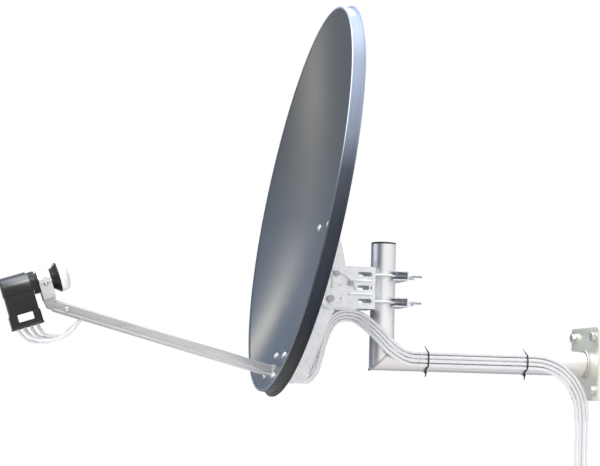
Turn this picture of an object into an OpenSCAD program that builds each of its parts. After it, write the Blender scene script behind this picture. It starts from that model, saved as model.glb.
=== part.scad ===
// Offset satellite dish on a welded wall bracket, built as separate pieces.
// Millimetres, +Z up. The dish faces -Y and the wall is on the +Y side.
// Origin: centre of the wall plate's back face, on the axis of the horizontal tube.

/* [Wall bracket] */
// side of the square wall plate
plate_w = 150; // [130:2:190]
// thickness of the wall plate
plate_t = 5; // [4:0.5:8]
// spacing of the four wall bolts, across and up
bolt_pitch = 110; // [90:2:112]
// outer diameter of the bracket tube
tube_d = 50; // [48:0.5:52]
// wall thickness of the bracket tube
tube_t = 2.5; // [1.5:0.25:3.5]
// distance from the plate's front face to the mast axis
standoff = 435; // [400:5:500]
// height of the mast top above the horizontal tube's axis
mast_top = 230; // [215:5:300]

/* [Reflector] */
// width of the reflector inside its outer lip
dish_w = 710; // [690:2:724]
// height of the reflector face, measured along its tilt
dish_h = 788; // [774:2:800]
// focal length of the parent paraboloid
focal = 430; // [426:1:434]
// angle the face leans back at the modelled setting
face_tilt = 9.3; // [9:0.1:9.6]
// depth of the rim skirt behind the face edge
skirt_d = 24; // [16:1:30]
// width of the outward lip behind the skirt
lip_w = 6; // [3:0.5:9]
// thickness of the reflector sheet
sheet_t = 1.6; // [1.2:0.1:2]

/* [Elevation and azimuth mount] */
// thickness of the galvanised bracket sheet
steel_t = 2.5; // [2:0.1:3]
// radius of the elevation slot about its pivot
slot_r = 52; // [50:0.5:54]
// elevation travel either way from the modelled setting
swing = 13; // [8:1:13]
// diameter of the pivot bolt
pivot_d = 8; // [7:0.5:9]
// diameter of the lock bolts, rods and reflector bolts
small_d = 6; // [5:0.25:6]

/* [Feed arm and LNB] */
// width of the feed arm channel
arm_w = 26; // [24:0.5:28]
// height of the feed arm channel
arm_h = 22; // [20:0.5:24]
// sheet thickness of the feed arm
arm_t = 2; // [1.5:0.1:2.2]
// rise of the feed arm towards the LNB, degrees
arm_rise = 14.8; // [14.5:0.1:15]
// diameter of the LNB neck
neck_d = 40; // [38:0.5:40]
// upward tilt of the LNB axis, degrees
lnb_rise = 18.5; // [18:0.1:19]

/* [Cables] */
// outer diameter of each coax cable
cable_d = 6.8; // [6:0.1:7]

/* [Output] */
// which piece to draw, or all of them

/* [Hidden] */
$fn = 96;
gap = 0.05;

// tube and mast
tube_r = tube_d / 2;
mast_y = -plate_t - standoff;
mast_front = mast_y - tube_r;

// reflector: rim plane, parent paraboloid and its beam direction
rim_b = dish_w / 2;
rim_a = dish_h / 2;
rim_y = mast_y - 182;
rim_z = 316;
offset_angle = acos(rim_b / rim_a);
beam_rise = face_tilt + offset_angle;
rim_off = 2 * focal * tan(offset_angle);
rim_depth = (rim_off * rim_off + rim_b * rim_b) / (4 * focal);
vertex_y = rim_y - rim_off * sin(beam_rise) + rim_depth * cos(beam_rise);
vertex_z = rim_z - rim_off * cos(beam_rise) - rim_depth * sin(beam_rise);
bowl_r0 = 40;
bowl_r1 = rim_off + rim_b + 24;
bowl_n = 40;

// elevation pivot and mount bracket
pivot_y = mast_y - 117;
pivot_z = 114;
plate_in = 34.2;
plate_out = plate_in + steel_t;
wall_out = 34;
wall_in = wall_out - 2.6;
rod_x = 28.8;
rod_z = [165, 111.5];
brk_front = mast_y - 114;
brk_back = mast_front - gap;
brk_low = 96;
brk_high = 180;
lock_a = [38, 76.5];
lobe_r = slot_r + 6;
bolt_x = 40.2;
bolt_r = [402, 139, 93];

// feed arm frame: its middle point on the centre line
arm_y = mast_y - 419;
arm_z = 18;
arm_tip = -248;
arm_root = 240;

// LNB frame: centre of the front flange, axis towards the dish
lnb_y = mast_y - 652;
lnb_z = 137.5;
neck_r = neck_d / 2;
body_s0 = -112;
body_s1 = -55;
hood_s1 = -45;
body_s = (body_s0 + body_s1) / 2;
port_s = [-64, -77, -90, -103];
cable_r = cable_d / 2;

// ---- frames and shared shapes ----
module side(x0, x1) {
  translate([x0, 0, 0]) rotate([90, 0, 90]) linear_extrude(x1 - x0) children();
}
module both_sides() {
  children();
  mirror([1, 0, 0]) children();
}
module mast_frame() {
  translate([0, mast_y, 0]) children();
}
module beam_frame() {
  translate([0, vertex_y, vertex_z]) rotate([90 - beam_rise, 0, 0]) children();
}
module rim_frame() {
  translate([0, rim_y, rim_z]) rotate([90 - face_tilt, 0, 0]) children();
}
module arm_frame() {
  translate([0, arm_y, arm_z]) rotate([-arm_rise, 0, 0]) children();
}
module lnb_frame() {
  translate([0, lnb_y, lnb_z]) rotate([lnb_rise, 0, 0]) children();
}
module block(x, y, z) {
  translate([x[0], y[0], z[0]]) cube([x[1] - x[0], y[1] - y[0], z[1] - z[0]]);
}
module hex(flats, h) {
  cylinder(d = flats / cos(30), h = h, $fn = 6);
}
module rod_y(r, y0, y1) {
  translate([0, y1, 0]) rotate([90, 0, 0]) cylinder(r = r, h = y1 - y0);
}
module rod_x_axis(r, x0, x1) {
  translate([x0, 0, 0]) rotate([0, 90, 0]) cylinder(r = r, h = x1 - x0);
}

// bowl height along the beam at a radius
function dip(r) = r * r / (4 * focal);
function band(i) = bowl_r0 + (bowl_r1 - bowl_r0) * i / bowl_n;
// a point of the bowl's middle line, in world y and z, set back by d along the beam
function bowl_yz(r, d) = [
  vertex_y + r * sin(beam_rise) - (dip(r) - d) * cos(beam_rise),
  vertex_z + r * cos(beam_rise) + (dip(r) - d) * sin(beam_rise)
];
module bowl_shell(d0, t) {
  rotate_extrude() polygon(concat(
    [for (i = [0 : bowl_n]) [band(i), dip(band(i)) - d0]],
    [for (i = [bowl_n : -1 : 0]) [band(i), dip(band(i)) - d0 - t]]
  ));
}
module oval(grow) {
  polygon([for (i = [0 : 143]) [(rim_b + grow) * cos(i * 2.5), (rim_a + grow) * sin(i * 2.5)]]);
}
// place children on the bowl at side x and radius r, z along the surface normal
module on_bowl(x, r) {
  lean = -atan(x / (2 * focal));
  beam_frame() translate([x, r, (r * r + x * x) / (4 * focal)])
    rotate([atan(r / (2 * focal) * cos(lean)), lean, 0]) children();
}

// ---- cables: straight runs joined by true bends through a list of way points ----
function unit(v) = v / norm(v);
function seg(p, i) = unit(p[i + 1] - p[i]);
function turn(p, i) = acos(seg(p, i - 1) * seg(p, i));
function cut(p, i, bend) = (i <= 0 || i >= len(p) - 1) ? 0 : bend[i] * tan(turn(p, i) / 2);
// put children at p with local Z along z
module aim(p, z) {
  translate(p) rotate([0, acos(z[2]), atan2(z[1], z[0])]) children();
}
// put children at p with local Z along z and local X along x
module aim_x(p, x, z) {
  y = cross(z, x);
  multmatrix([
    [x[0], y[0], z[0], p[0]],
    [x[1], y[1], z[1], p[1]],
    [x[2], y[2], z[2], p[2]],
    [0, 0, 0, 1]
  ]) children();
}
// bend[i] is the bend radius at way point i; a hair-thin collar covers every joint
module cable(p, bend) {
  for (i = [0 : len(p) - 2]) {
    dir = seg(p, i);
    from = p[i] + dir * cut(p, i, bend);
    to = p[i + 1] - dir * cut(p, i + 1, bend);
    aim(from, dir) cylinder(r = cable_r, h = norm(to - from));
  }
  for (i = [1 : len(p) - 2]) {
    a = seg(p, i - 1);
    b = seg(p, i);
    w = unit(b - a * (a * b));
    aim_x(p[i] - a * cut(p, i, bend), w, a) {
      translate([bend[i], 0, 0]) rotate([90, 0, 180])
        rotate_extrude(angle = turn(p, i)) translate([bend[i], 0]) circle(r = cable_r);
      translate([0, 0, -0.4]) cylinder(r = cable_r + 0.06, h = 0.8);
    }
    aim(p[i] + b * cut(p, i, bend), b) translate([0, 0, -0.4]) cylinder(r = cable_r + 0.06, h = 0.8);
  }
}
function arm_pt(x, y, z) = [
  x,
  arm_y + y * cos(arm_rise) + z * sin(arm_rise),
  arm_z - y * sin(arm_rise) + z * cos(arm_rise)
];
function lnb_pt(x, s, t) = [
  x,
  lnb_y + s * cos(lnb_rise) - t * sin(lnb_rise),
  lnb_z + s * sin(lnb_rise) + t * cos(lnb_rise)
];
lane_x = [3.6, -3.6, 3.6, -3.6];
lane_z = [-1.8, -1.8, 5.4, 5.4];
// which arm lane feeds each place in the loop behind the dish
lane_of = [1, 0, 3, 2];
loop_x = [-0.6, 7.8, 16.2, 24.6];
side_z = [-12, -4, 4, 12];
function side_x(k) = sqrt(pow(tube_r + cable_r + gap, 2) - side_z[k] * side_z[k]);
fan = [for (k = [0 : 3]) (k - 1.5) * 5];
apex = [for (k = [0 : 3]) [loop_x[k], mast_y - 77, 84 + fan[k]]];

// ---- wall bracket ----
module wall_plate() {
  color("silver") rotate([90, 0, 0]) linear_extrude(plate_t)
    difference() {
      union() {
        square([plate_w - 16, plate_w], center = true);
        square([plate_w, plate_w - 16], center = true);
        for (x = [-1, 1], z = [-1, 1])
          translate([x, z] * (plate_w / 2 - 8)) circle(r = 8);
      }
      for (x = [-1, 1], z = [-1, 1])
        translate([x, z] * bolt_pitch / 2) circle(d = 11);
    }
}
module plate_weld() {
  color("gray") translate([0, -plate_t, 0]) rotate([90, 0, 0]) rotate_extrude()
    polygon([[tube_r + 0.02, 0], [tube_r + 5, 0], [tube_r + 3, 1.8], [tube_r + 1.6, 3.6], [tube_r + 0.02, 5]]);
}
// half space above (1) or below (-1) the 45 degree mitre
module mitre(up, depth) {
  mast_frame() rotate([45, 0, 0])
    translate([-60, -90, up > 0 ? 0 : -depth]) cube([120, 180, depth]);
}
module arm_tube() {
  color("gainsboro") intersection() {
    difference() {
      rod_y(tube_r, mast_y - 40, -plate_t);
      rod_y(tube_r - tube_t, mast_y - 41, -plate_t + 1);
    }
    mast_frame() rotate([45, 0, 0]) translate([-60, -90, -900]) cube([120, 1500, 900]);
  }
}
module mast_tube() {
  color("gainsboro") intersection() {
    mast_frame() translate([0, 0, -40]) difference() {
      cylinder(r = tube_r, h = mast_top + 40);
      translate([0, 0, -1]) cylinder(r = tube_r - tube_t, h = mast_top + 42);
    }
    mast_frame() rotate([45, 0, 0]) translate([-60, -900, 0]) cube([120, 1500, 900]);
  }
}
module mitre_weld() {
  bead = tube_r + 1.3;
  color("gray") union() {
    intersection() {
      difference() {
        rod_y(bead, mast_y - 40, mast_y + 60);
        rod_y(tube_r + 0.02, mast_y - 41, mast_y + 61);
      }
      mitre(-1, 2.2);
    }
    intersection() {
      mast_frame() translate([0, 0, -40]) difference() {
        cylinder(r = bead, h = 100);
        translate([0, 0, -1]) cylinder(r = tube_r + 0.02, h = 102);
      }
      mitre(1, 2.2);
    }
  }
}
module mast_cap() {
  color("black") mast_frame() union() {
    translate([0, 0, mast_top]) cylinder(r = tube_r, h = 2.2);
    translate([0, 0, mast_top + 2.2]) cylinder(r1 = tube_r, r2 = tube_r - 2.5, h = 1.6);
    translate([0, 0, mast_top - 14]) difference() {
      cylinder(r = tube_r - tube_t - gap, h = 14);
      translate([0, 0, -1]) cylinder(r = tube_r - tube_t - 2, h = 15);
    }
  }
}
module at_wall_bolts() {
  for (x = [-1, 1], z = [-1, 1])
    translate([x * bolt_pitch / 2, -plate_t, z * bolt_pitch / 2]) rotate([90, 0, 0]) children();
}
module wall_bolts() {
  color("silver") at_wall_bolts() {
    translate([0, 0, 2]) hex(17, 6.4);
    translate([0, 0, -plate_t - 0.5]) cylinder(d = 9.2, h = plate_t + 2.6);
    translate([0, 0, -60]) cylinder(d = 10, h = 60 - plate_t - 0.3);
    translate([0, 0, -66]) cylinder(r1 = 1.5, r2 = 5, h = 6);
  }
}
module wall_washers() {
  color("silver") at_wall_bolts() difference() {
    cylinder(d = 22, h = 2);
    translate([0, 0, -1]) cylinder(d = 10.4, h = 4);
  }
}
module cable_ties() {
  reach = tube_r + cable_d + gap;
  mid = (reach - tube_r) / 2;
  ring = (reach + tube_r) / 2 + 0.45;
  color("black") for (y = [mast_y + 90, mast_y + 300]) translate([mid, y, 0]) {
    difference() {
      rod_y(ring + 1.1, -1.5, 1.5);
      rod_y(ring, -3, 3);
    }
    translate([-2, -2.3, -ring - 4.4]) cube([4.4, 4.6, 4]);
    translate([-0.5, -1.3, -ring - 12]) cube([1, 2.6, 9]);
  }
}
// the four cables along the tube, then turning down in front of the wall
function wall_way(k) = [
  [side_x(k), mast_y + 70, side_z[k]],
  [side_x(k) + 0.1, -134, side_z[k]],
  [tube_r + 8, -plate_t - cable_r - 19 + 0.95 * side_z[k], side_z[k]],
  [tube_r + 8, -plate_t - cable_r - 14 + 0.95 * side_z[k], -235]
];
module wall_cables() {
  color("white") for (k = [0 : 3]) cable(wall_way(k), [0, 60, 100 + side_z[k], 0]);
}

// ---- azimuth body ----
module arc_slot() {
  a0 = lock_a[0] - swing - 1;
  a1 = lock_a[1] + swing + 1;
  w = small_d / 2 + 0.2;
  translate([pivot_y, pivot_z]) {
    intersection() {
      difference() {
        circle(r = slot_r + w);
        circle(r = slot_r - w);
      }
      polygon(concat([[0, 0]], [for (i = [0 : 8]) 80 * [cos(a0 + (a1 - a0) * i / 8), sin(a0 + (a1 - a0) * i / 8)]]));
    }
    for (a = [a0, a1]) translate(slot_r * [cos(a), sin(a)]) circle(r = w);
  }
}
module window(y, z, l, h) {
  translate([y, z]) {
    square([l - h, h], center = true);
    translate([-(l - h) / 2, 0]) circle(d = h);
    translate([(l - h) / 2, 0]) circle(d = h);
  }
}
module mount_bracket() {
  color("lightsteelblue") difference() {
    union() {
      both_sides() {
        side(plate_in, plate_out) difference() {
          union() {
            translate([brk_front, brk_low]) square([brk_back - brk_front, brk_high - brk_low]);
            translate([pivot_y, pivot_z]) circle(r = 20);
          }
          arc_slot();
          translate([pivot_y, pivot_z]) circle(d = pivot_d + 0.1);
          for (z = [rod_z[0], (rod_z[0] + rod_z[1]) / 2, rod_z[1]]) window(brk_back - 22, z, 30, 8.4);
          translate([pivot_y + 20, pivot_z]) circle(r = 3);
          translate([pivot_y + 17, pivot_z + 28]) circle(r = 1.5);
        }
        translate([plate_out, 0, rod_z[0] - 13.4]) rod_y(2.4, brk_back - 42, brk_back - 7);
        translate([plate_out, 0, rod_z[1] + 13.4]) rod_y(2.4, brk_back - 54, brk_back - 7);
        block([14, plate_out], [brk_back - 14, brk_back - steel_t], [brk_high - steel_t, brk_high]);
      }
      block([-plate_out, plate_out], [brk_back - steel_t, brk_back], [brk_low, brk_high]);
    }
    for (x = [-rod_x, rod_x], z = rod_z) translate([x, 0, z]) rod_y(small_d / 2 + 0.05, brk_back - 9, brk_back + 1);
    block([-12, 12], [brk_back - 9, brk_back + 1], [124, 152]);
  }
}
module clamp_rods() {
  color("silver") for (x = [-rod_x, rod_x], z = rod_z) translate([x, 0, z]) {
    rod_y(small_d / 2, brk_back - steel_t - 1, mast_y + 73);
    translate([0, brk_back - steel_t, 0]) rotate([90, 90, 0]) hex(10 * small_d / 6, 4);
  }
}
// toothed V edge of a jaw plate: tooth points lie on the line that touches the mast
jaw_half = 60;
jaw_tip = mast_y + (tube_r + gap) / sin(jaw_half);
teeth_n = 8;
tooth = 4.4;
tooth_h = 1.8;
function v_pt(i, h) = [
  sin(jaw_half) * i * tooth + h * cos(jaw_half),
  jaw_tip - cos(jaw_half) * i * tooth + h * sin(jaw_half)
];
module jaw_plate() {
  notch = concat(
    [[0, jaw_tip + tooth_h]],
    [for (i = [1 : teeth_n]) each [v_pt(i, 0), v_pt(i + 0.5, tooth_h)]],
    [[v_pt(teeth_n + 0.5, tooth_h)[0], mast_y]]
  );
  difference() {
    translate([-40, mast_y + 12]) square([80, 31]);
    polygon(concat(notch, [[0, mast_y]]));
    mirror([1, 0]) polygon(concat(notch, [[0, mast_y]]));
    translate([-1, mast_y]) square([2, jaw_tip - mast_y + 1]);
  }
}
module jaw(z) {
  color("dimgray") translate([0, 0, z]) difference() {
    union() {
      for (s = [-9.5, 7]) translate([0, 0, s]) linear_extrude(2.5) jaw_plate();
      block([-40, 40], [mast_y + 40.5, mast_y + 43], [-9.5, 9.5]);
    }
    for (x = [-rod_x, rod_x]) translate([x, 0, 0]) rod_y(small_d / 2 + 0.05, mast_y + 30, mast_y + 44);
  }
}
module jaw_nuts(z) {
  color("silver") for (x = [-rod_x, rod_x]) translate([x, mast_y + 43 + gap, z]) rotate([-90, 0, 0]) difference() {
    union() {
      cylinder(d = 13, h = 1.4);
      hex(10, 6.4);
    }
    translate([0, 0, -1]) cylinder(r = small_d / 2 + 0.02, h = 9);
  }
}
module jaw_upper() {
  jaw(rod_z[0]);
}
module jaw_lower() {
  jaw(rod_z[1]);
}
module jaw_nuts_upper() {
  jaw_nuts(rod_z[0]);
}
module jaw_nuts_lower() {
  jaw_nuts(rod_z[1]);
}
module pivot_bolt() {
  color("silver") translate([0, pivot_y, pivot_z]) {
    rod_x_axis(pivot_d / 2, -plate_out - 12, plate_out + 2);
    translate([plate_out + 1.6, 0, 0]) rotate([0, 90, 0]) hex(13, 5.3);
  }
}
module washer_x(x, d, r) {
  translate([x, 0, 0]) rotate([0, 90, 0]) difference() {
    cylinder(d = d, h = 1.6);
    translate([0, 0, -1]) cylinder(r = r, h = 4);
  }
}
module nut_x(x, flats, h, r) {
  translate([x, 0, 0]) rotate([0, -90, 0]) difference() {
    hex(flats, h);
    translate([0, 0, -1]) cylinder(r = r, h = h + 2);
  }
}
module pivot_washers() {
  color("silver") translate([0, pivot_y, pivot_z]) {
    washer_x(plate_out, 16, pivot_d / 2 + 0.2);
    washer_x(-plate_out - 1.6, 16, pivot_d / 2 + 0.2);
  }
}
module pivot_nut() {
  color("silver") translate([0, pivot_y, pivot_z]) nut_x(-plate_out - 1.6, 13, 6.5, pivot_d / 2 + 0.02);
}
// cables from the point under the bracket to the first tie, past the mast's side
function mast_way(k) = [
  apex[k],
  apex[k] + [0, 8, -0.7],
  [10.4 + 8.6 * k, mast_y - 48 + side_z[k] * 0.6, 80 + side_z[k] * 0.5],
  [36, mast_y + 10 + side_z[k] * 0.3, 21 + side_z[k]],
  [side_x(k), mast_y + 56, side_z[k]],
  [side_x(k), mast_y + 69.95, side_z[k]]
];
module mast_loop_cables() {
  color("white") for (k = [0 : 3]) cable(mast_way(k), [0, 10, 20, 60, 24, 0]);
}

// ---- elevation body ----
module backbone_outline() {
  top = [for (r = [430 : -14 : 80]) bowl_yz(r, sheet_t + 1.1)];
  polygon(concat(top, [
    [mast_y - 200, -56], [mast_y - 173, -56], [mast_y - 161, -51], [mast_y - 156, -40], [mast_y - 156, -25],
    [mast_y - 108, 93], [mast_y - 92, 100], [mast_y - 92, 170], [mast_y - 87, 181],
    [mast_y - 93, 214], [mast_y - 101, 238], [mast_y - 112, 276]
  ]));
}
// everything behind the bowl's middle section
module behind_bowl() {
  polygon(concat([for (r = [430 : -14 : 80]) bowl_yz(r, sheet_t + 1.1)], [[mast_y, -56], [mast_y, 290]]));
}
module backbone() {
  web_cut = 2.5;
  color("lightsteelblue") difference() {
    union() {
      both_sides() {
        side(wall_in, wall_out) {
          backbone_outline();
          intersection() {
            translate([pivot_y, pivot_z]) circle(r = lobe_r);
            behind_bowl();
            translate([pivot_y - 80, pivot_z - 22]) square([160, 100]);
          }
        }
        intersection() {
          beam_frame() bowl_shell(sheet_t + gap, steel_t);
          side(wall_out - 1, 50) translate([mast_y - 260, -58]) square([180, 348]);
        }
      }
      difference() {
        side(-wall_in - 1, wall_in + 1) difference() {
          backbone_outline();
          translate([-web_cut, 0]) backbone_outline();
          translate([mast_y - 260, -80]) square([180, 58]);
          translate([mast_y - 260, 24]) square([200, 162]);
        }
        beam_frame() bowl_shell(-20, 20 + sheet_t + 3);
      }
    }
    translate([0, pivot_y, pivot_z]) rod_x_axis(pivot_d / 2 + 0.06, -40, 40);
    for (a = lock_a) translate([0, pivot_y + slot_r * cos(a), pivot_z + slot_r * sin(a)])
      rod_x_axis(small_d / 2 + 0.05, -40, 40);
    for (x = [-bolt_x, bolt_x], r = bolt_r) on_bowl(x, r) translate([0, 0, -12]) cylinder(d = small_d + 0.6, h = 14);
    arm_frame() for (x = [-40, 26]) translate([0, 235, 0]) rod_x_axis(2.6, x, x + 14);
  }
}
module reflector() {
  color("dimgray") difference() {
    union() {
      intersection() {
        beam_frame() bowl_shell(0, sheet_t);
        rim_frame() translate([0, 0, -150]) linear_extrude(170) oval(-0.8);
      }
      rim_frame() translate([0, 0, -skirt_d]) linear_extrude(skirt_d) difference() {
        oval(0);
        oval(-sheet_t);
      }
      rim_frame() translate([0, 0, -skirt_d]) linear_extrude(sheet_t) difference() {
        oval(lip_w);
        oval(-0.5);
      }
    }
    for (x = [-bolt_x, bolt_x], r = bolt_r) on_bowl(x, r) translate([0, 0, -8]) cylinder(d = small_d + 0.6, h = 16);
    arm_frame() block([-17, 17], [150, 235], [-13, 15.5]);
  }
}
module reflector_bolts() {
  color("silver") for (x = [-bolt_x, bolt_x], r = bolt_r) on_bowl(x, r) {
    translate([0, 0, 0.3]) difference() {
      translate([0, 0, -6]) sphere(r = 10);
      translate([-12, -12, -18]) cube([24, 24, 18]);
    }
    translate([0, 0, -14]) cylinder(d = small_d, h = 15);
  }
}
module reflector_nuts() {
  color("silver") for (x = [-bolt_x, bolt_x], r = bolt_r) on_bowl(x, r) translate([0, 0, -11.2]) difference() {
    union() {
      hex(9.6, 6.4);
      translate([0, 0, 5]) cylinder(d = 12, h = 1.4);
    }
    translate([0, 0, -1]) cylinder(r = small_d / 2 + 0.02, h = 10);
  }
}
module at_locks() {
  for (a = lock_a) translate([0, pivot_y + slot_r * cos(a), pivot_z + slot_r * sin(a)]) children();
}
module lock_bolts() {
  color("silver") at_locks() {
    rod_x_axis(small_d / 2, -plate_out - 10, plate_out + 2);
    translate([plate_out + 1.6 + gap, 0, 0]) rotate([0, 90, 0]) hex(10, 4);
  }
}
module lock_washers() {
  color("silver") at_locks() {
    washer_x(plate_out + gap, 12, small_d / 2 + 0.2);
    washer_x(-plate_out - 1.6 - gap, 12, small_d / 2 + 0.2);
  }
}
module lock_nuts() {
  color("silver") at_locks() nut_x(-plate_out - 1.6 - gap, 10, 5, small_d / 2 + 0.02);
}
arm_in = arm_w / 2 - arm_t;
module arm_socket() {
  in = arm_w / 2 + gap;
  out = in + 2.5;
  top = arm_h / 2 + gap;
  lug = wall_in - 0.05;
  color("lightgray") arm_frame() difference() {
    union() {
      block([-out, out], [200, 245], [-arm_h / 2, top + 2.5]);
      both_sides() {
        block([out - 1, lug], [242.5, 245], [-arm_h / 2, top + 2.5]);
        block([lug - 2.5, lug], [224, 245], [-arm_h / 2, top + 2.5]);
      }
    }
    block([-in, in], [199, 246], [-arm_h / 2 - 1, top]);
    for (x = [-40, 26]) translate([0, 235, 0]) rod_x_axis(2.55, x, x + 14);
    translate([0, 212, 0]) rod_x_axis(2.55, -20, 20);
  }
}
module socket_screws() {
  color("silver") arm_frame() both_sides() translate([0, 235, 0]) {
    rod_x_axis(2.5, wall_in - 7, wall_out + 1);
    rod_x_axis(4.6, wall_out + gap, wall_out + 3.2);
  }
}
module feed_arm() {
  color("lightgray") arm_frame() difference() {
    block([-arm_w / 2, arm_w / 2], [arm_tip, arm_root], [-arm_h / 2, arm_h / 2]);
    block([-arm_in, arm_in], [arm_tip - 1, arm_root + 1], [-arm_h / 2 - 1, arm_h / 2 - arm_t]);
    both_sides() block([arm_w / 2 - 0.4, arm_w / 2 + 1], [arm_tip - 1, 196], [-arm_h / 2 + 5, -arm_h / 2 + 6]);
    translate([0, -223, 0]) rod_x_axis(2.55, -20, 20);
    translate([0, 212, 0]) rod_x_axis(2.55, -20, 20);
  }
}
module arm_screws() {
  color("silver") arm_frame() both_sides() translate([0, 212, 0]) {
    rod_x_axis(2.5, arm_in - 1.5, arm_w / 2 + 3.4);
    rod_x_axis(4.6, arm_w / 2 + 2.6, arm_w / 2 + 5.4);
  }
}
module arm_cables() {
  color("white") for (k = [0 : 3])
    cable([arm_pt(lane_x[k], -159.95, lane_z[k]), arm_pt(lane_x[k], 249.7, lane_z[k])], [0, 0]);
}
function rear_way(k) =
  let (j = lane_of[k])
  [
    arm_pt(lane_x[j], 250, lane_z[j]),
    [lane_x[j], mast_y - 143 - lane_z[j] * 1.35, -54 + lane_z[j] * 1.35],
    apex[k] + [0, -1, 0.7 / 8] * (30 + fan[k]),
    apex[k] + [0, -1, 0.7 / 8] * gap
  ];
module rear_loop_cables() {
  color("white") for (k = [0 : 3]) cable(rear_way(k), [0, 18, 26 + fan[k], 0]);
}

// ---- LNB holder and clamp, carried by the arm ----
clamp_s = [-41, -17];
module half_ring(up) {
  intersection() {
    union() {
      rod_y(neck_r + 3, clamp_s[0], clamp_s[1]);
      block([-31, 31], clamp_s, up > 0 ? [0, 4] : [-4, 0]);
    }
    block([-40, 40], [-60, 0], up > 0 ? [0.15, 40] : [-40, -0.15]);
  }
}
module lnb_holder() {
  shelf = -36;
  color("lightsteelblue") difference() {
    union() {
      lnb_frame() half_ring(-1);
      lnb_frame() both_sides() block([20, 22.5], clamp_s, [shelf, -3]);
      lnb_frame() block([-22.5, 22.5], clamp_s, [shelf, shelf + 2.5]);
      both_sides() side(arm_in - 2, arm_in - gap) polygon([
        [lnb_pt(0, clamp_s[0], shelf + 1)[1], lnb_pt(0, clamp_s[0], shelf + 1)[2]],
        [lnb_pt(0, clamp_s[1], shelf + 1)[1], lnb_pt(0, clamp_s[1], shelf + 1)[2]],
        [arm_pt(0, arm_tip - 0.5, 8.9)[1], arm_pt(0, arm_tip - 0.5, 8.9)[2]],
        [arm_pt(0, -208, 8.9)[1], arm_pt(0, -208, 8.9)[2]],
        [arm_pt(0, -208, -8)[1], arm_pt(0, -208, -8)[2]],
        [arm_pt(0, arm_tip, -9)[1], arm_pt(0, arm_tip, -9)[2]],
        [arm_pt(0, arm_tip - 12, -8)[1], arm_pt(0, arm_tip - 12, -8)[2]]
      ]);
      side(-arm_in + 1, arm_in - 1) polygon([
        [lnb_pt(0, clamp_s[0], shelf + 1)[1], lnb_pt(0, clamp_s[0], shelf + 1)[2]],
        [lnb_pt(0, clamp_s[0], shelf + 1)[1] + 2.5, lnb_pt(0, clamp_s[0], shelf + 1)[2] + 1],
        [arm_pt(0, arm_tip - 9.5, -8)[1], arm_pt(0, arm_tip - 9.5, -8)[2]],
        [arm_pt(0, arm_tip - 12, -8)[1], arm_pt(0, arm_tip - 12, -8)[2]]
      ]);
    }
    lnb_frame() rod_y(neck_r + gap, -50, 0);
    arm_frame() translate([0, -223, 0]) rod_x_axis(2.55, -20, 20);
    lnb_frame() for (x = [-27, 27]) translate([x, -29, -12]) cylinder(r = 2.55, h = 13);
  }
}
module holder_screws() {
  color("silver") arm_frame() both_sides() translate([0, -223, 0]) {
    rod_x_axis(2.5, arm_in - 3, arm_w / 2 + 1);
    rod_x_axis(4.6, arm_w / 2, arm_w / 2 + 2.8);
  }
}
module clamp_cap() {
  color("silver") lnb_frame() difference() {
    half_ring(1);
    rod_y(neck_r + gap, -50, 0);
    for (x = [-27, 27]) translate([x, -29, -1]) cylinder(r = 2.55, h = 12);
  }
}
module clamp_screws() {
  color("silver") lnb_frame() for (x = [-27, 27]) translate([x, -29, 0]) {
    translate([0, 0, -10]) cylinder(r = 2.5, h = 15);
    translate([0, 0, 4]) cylinder(r = 4.2, h = 3.4);
  }
}
module clamp_nuts() {
  color("silver") lnb_frame() for (x = [-27, 27]) translate([x, -29, -8]) difference() {
    rotate([0, 0, 30]) hex(8, 4);
    translate([0, 0, -1]) cylinder(r = 2.52, h = 6);
  }
}
// cable loops from the plugs round into the open underside of the arm
hang_x = [3.7, -3.7, 13.5, -13.5];
function loop_way(k) =
  let (up = lane_z[k] > 0)
  [
    lnb_pt(0, port_s[k], floor_t - 19.5),
    [hang_x[k], mast_y - 676 - 9 * k, -8 - 3 * k],
    arm_pt(lane_x[k], up ? -214 : -200, lane_z[k]),
    arm_pt(lane_x[k], -160, lane_z[k])
  ];
module lnb_loop_cables() {
  color("white") for (k = [0 : 3]) cable(loop_way(k), [0, 15, 20, 0]);
}

// ---- LNB, turning in the clamp ----
module along(s0, s1) {
  translate([0, s1, 0]) rotate([90, 0, 0]) linear_extrude(s1 - s0) children();
}
hood_x = 25;
low_x = 24;
seam_t = -11;
floor_t = -56;
module hood_face(cut) {
  circle(r = hood_x - cut);
  translate([-hood_x + cut, seam_t]) square([2 * (hood_x - cut), -seam_t]);
}
module lnb_body() {
  color("dimgray") lnb_frame() difference() {
    union() {
      block([-low_x, low_x], [body_s0, body_s1], [floor_t, seam_t]);
      along(body_s1 - 2.5, hood_s1) hood_face(0);
      rod_y(neck_r, body_s1 - 1, 0);
      translate([0, -12, 0]) rotate([-90, 0, 0]) cylinder(r1 = neck_r, r2 = 29, h = 9);
      rod_y(29, -3, 0);
    }
    block([-low_x + 2, low_x - 2], [body_s0 + 2, body_s1 - 2.5], [floor_t + 2, seam_t + 1]);
    rod_y(18, body_s1 - 6, 1);
    for (s = port_s) translate([0, s, floor_t - 1]) cylinder(r = 4.72, h = 4);
    rod_y(25.2, -2, 1);
  }
}
module lnb_hood() {
  color("dimgray") lnb_frame() difference() {
    union() {
      along(body_s0 - 1, body_s1 - 2.5 - gap) intersection() {
        hood_face(0);
        translate([-40, seam_t + gap]) square([80, 80]);
      }
      block([-3.5, 3.5], [body_s0 - 1, body_s1 - 6], [hood_x - 1, hood_x + 3]);
    }
    along(body_s0 + 1.5, body_s1 + 5) hood_face(2.2);
  }
}
module cap_ring() {
  color("black") lnb_frame() translate([0, -1, 0]) rotate([-90, 0, 0]) rotate_extrude()
    translate([24.1, 0]) circle(r = 0.95);
}
function dome(i, r, h) = [r * pow(cos(i * 5), 0.7), h * pow(sin(i * 5), 0.7)];
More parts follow.
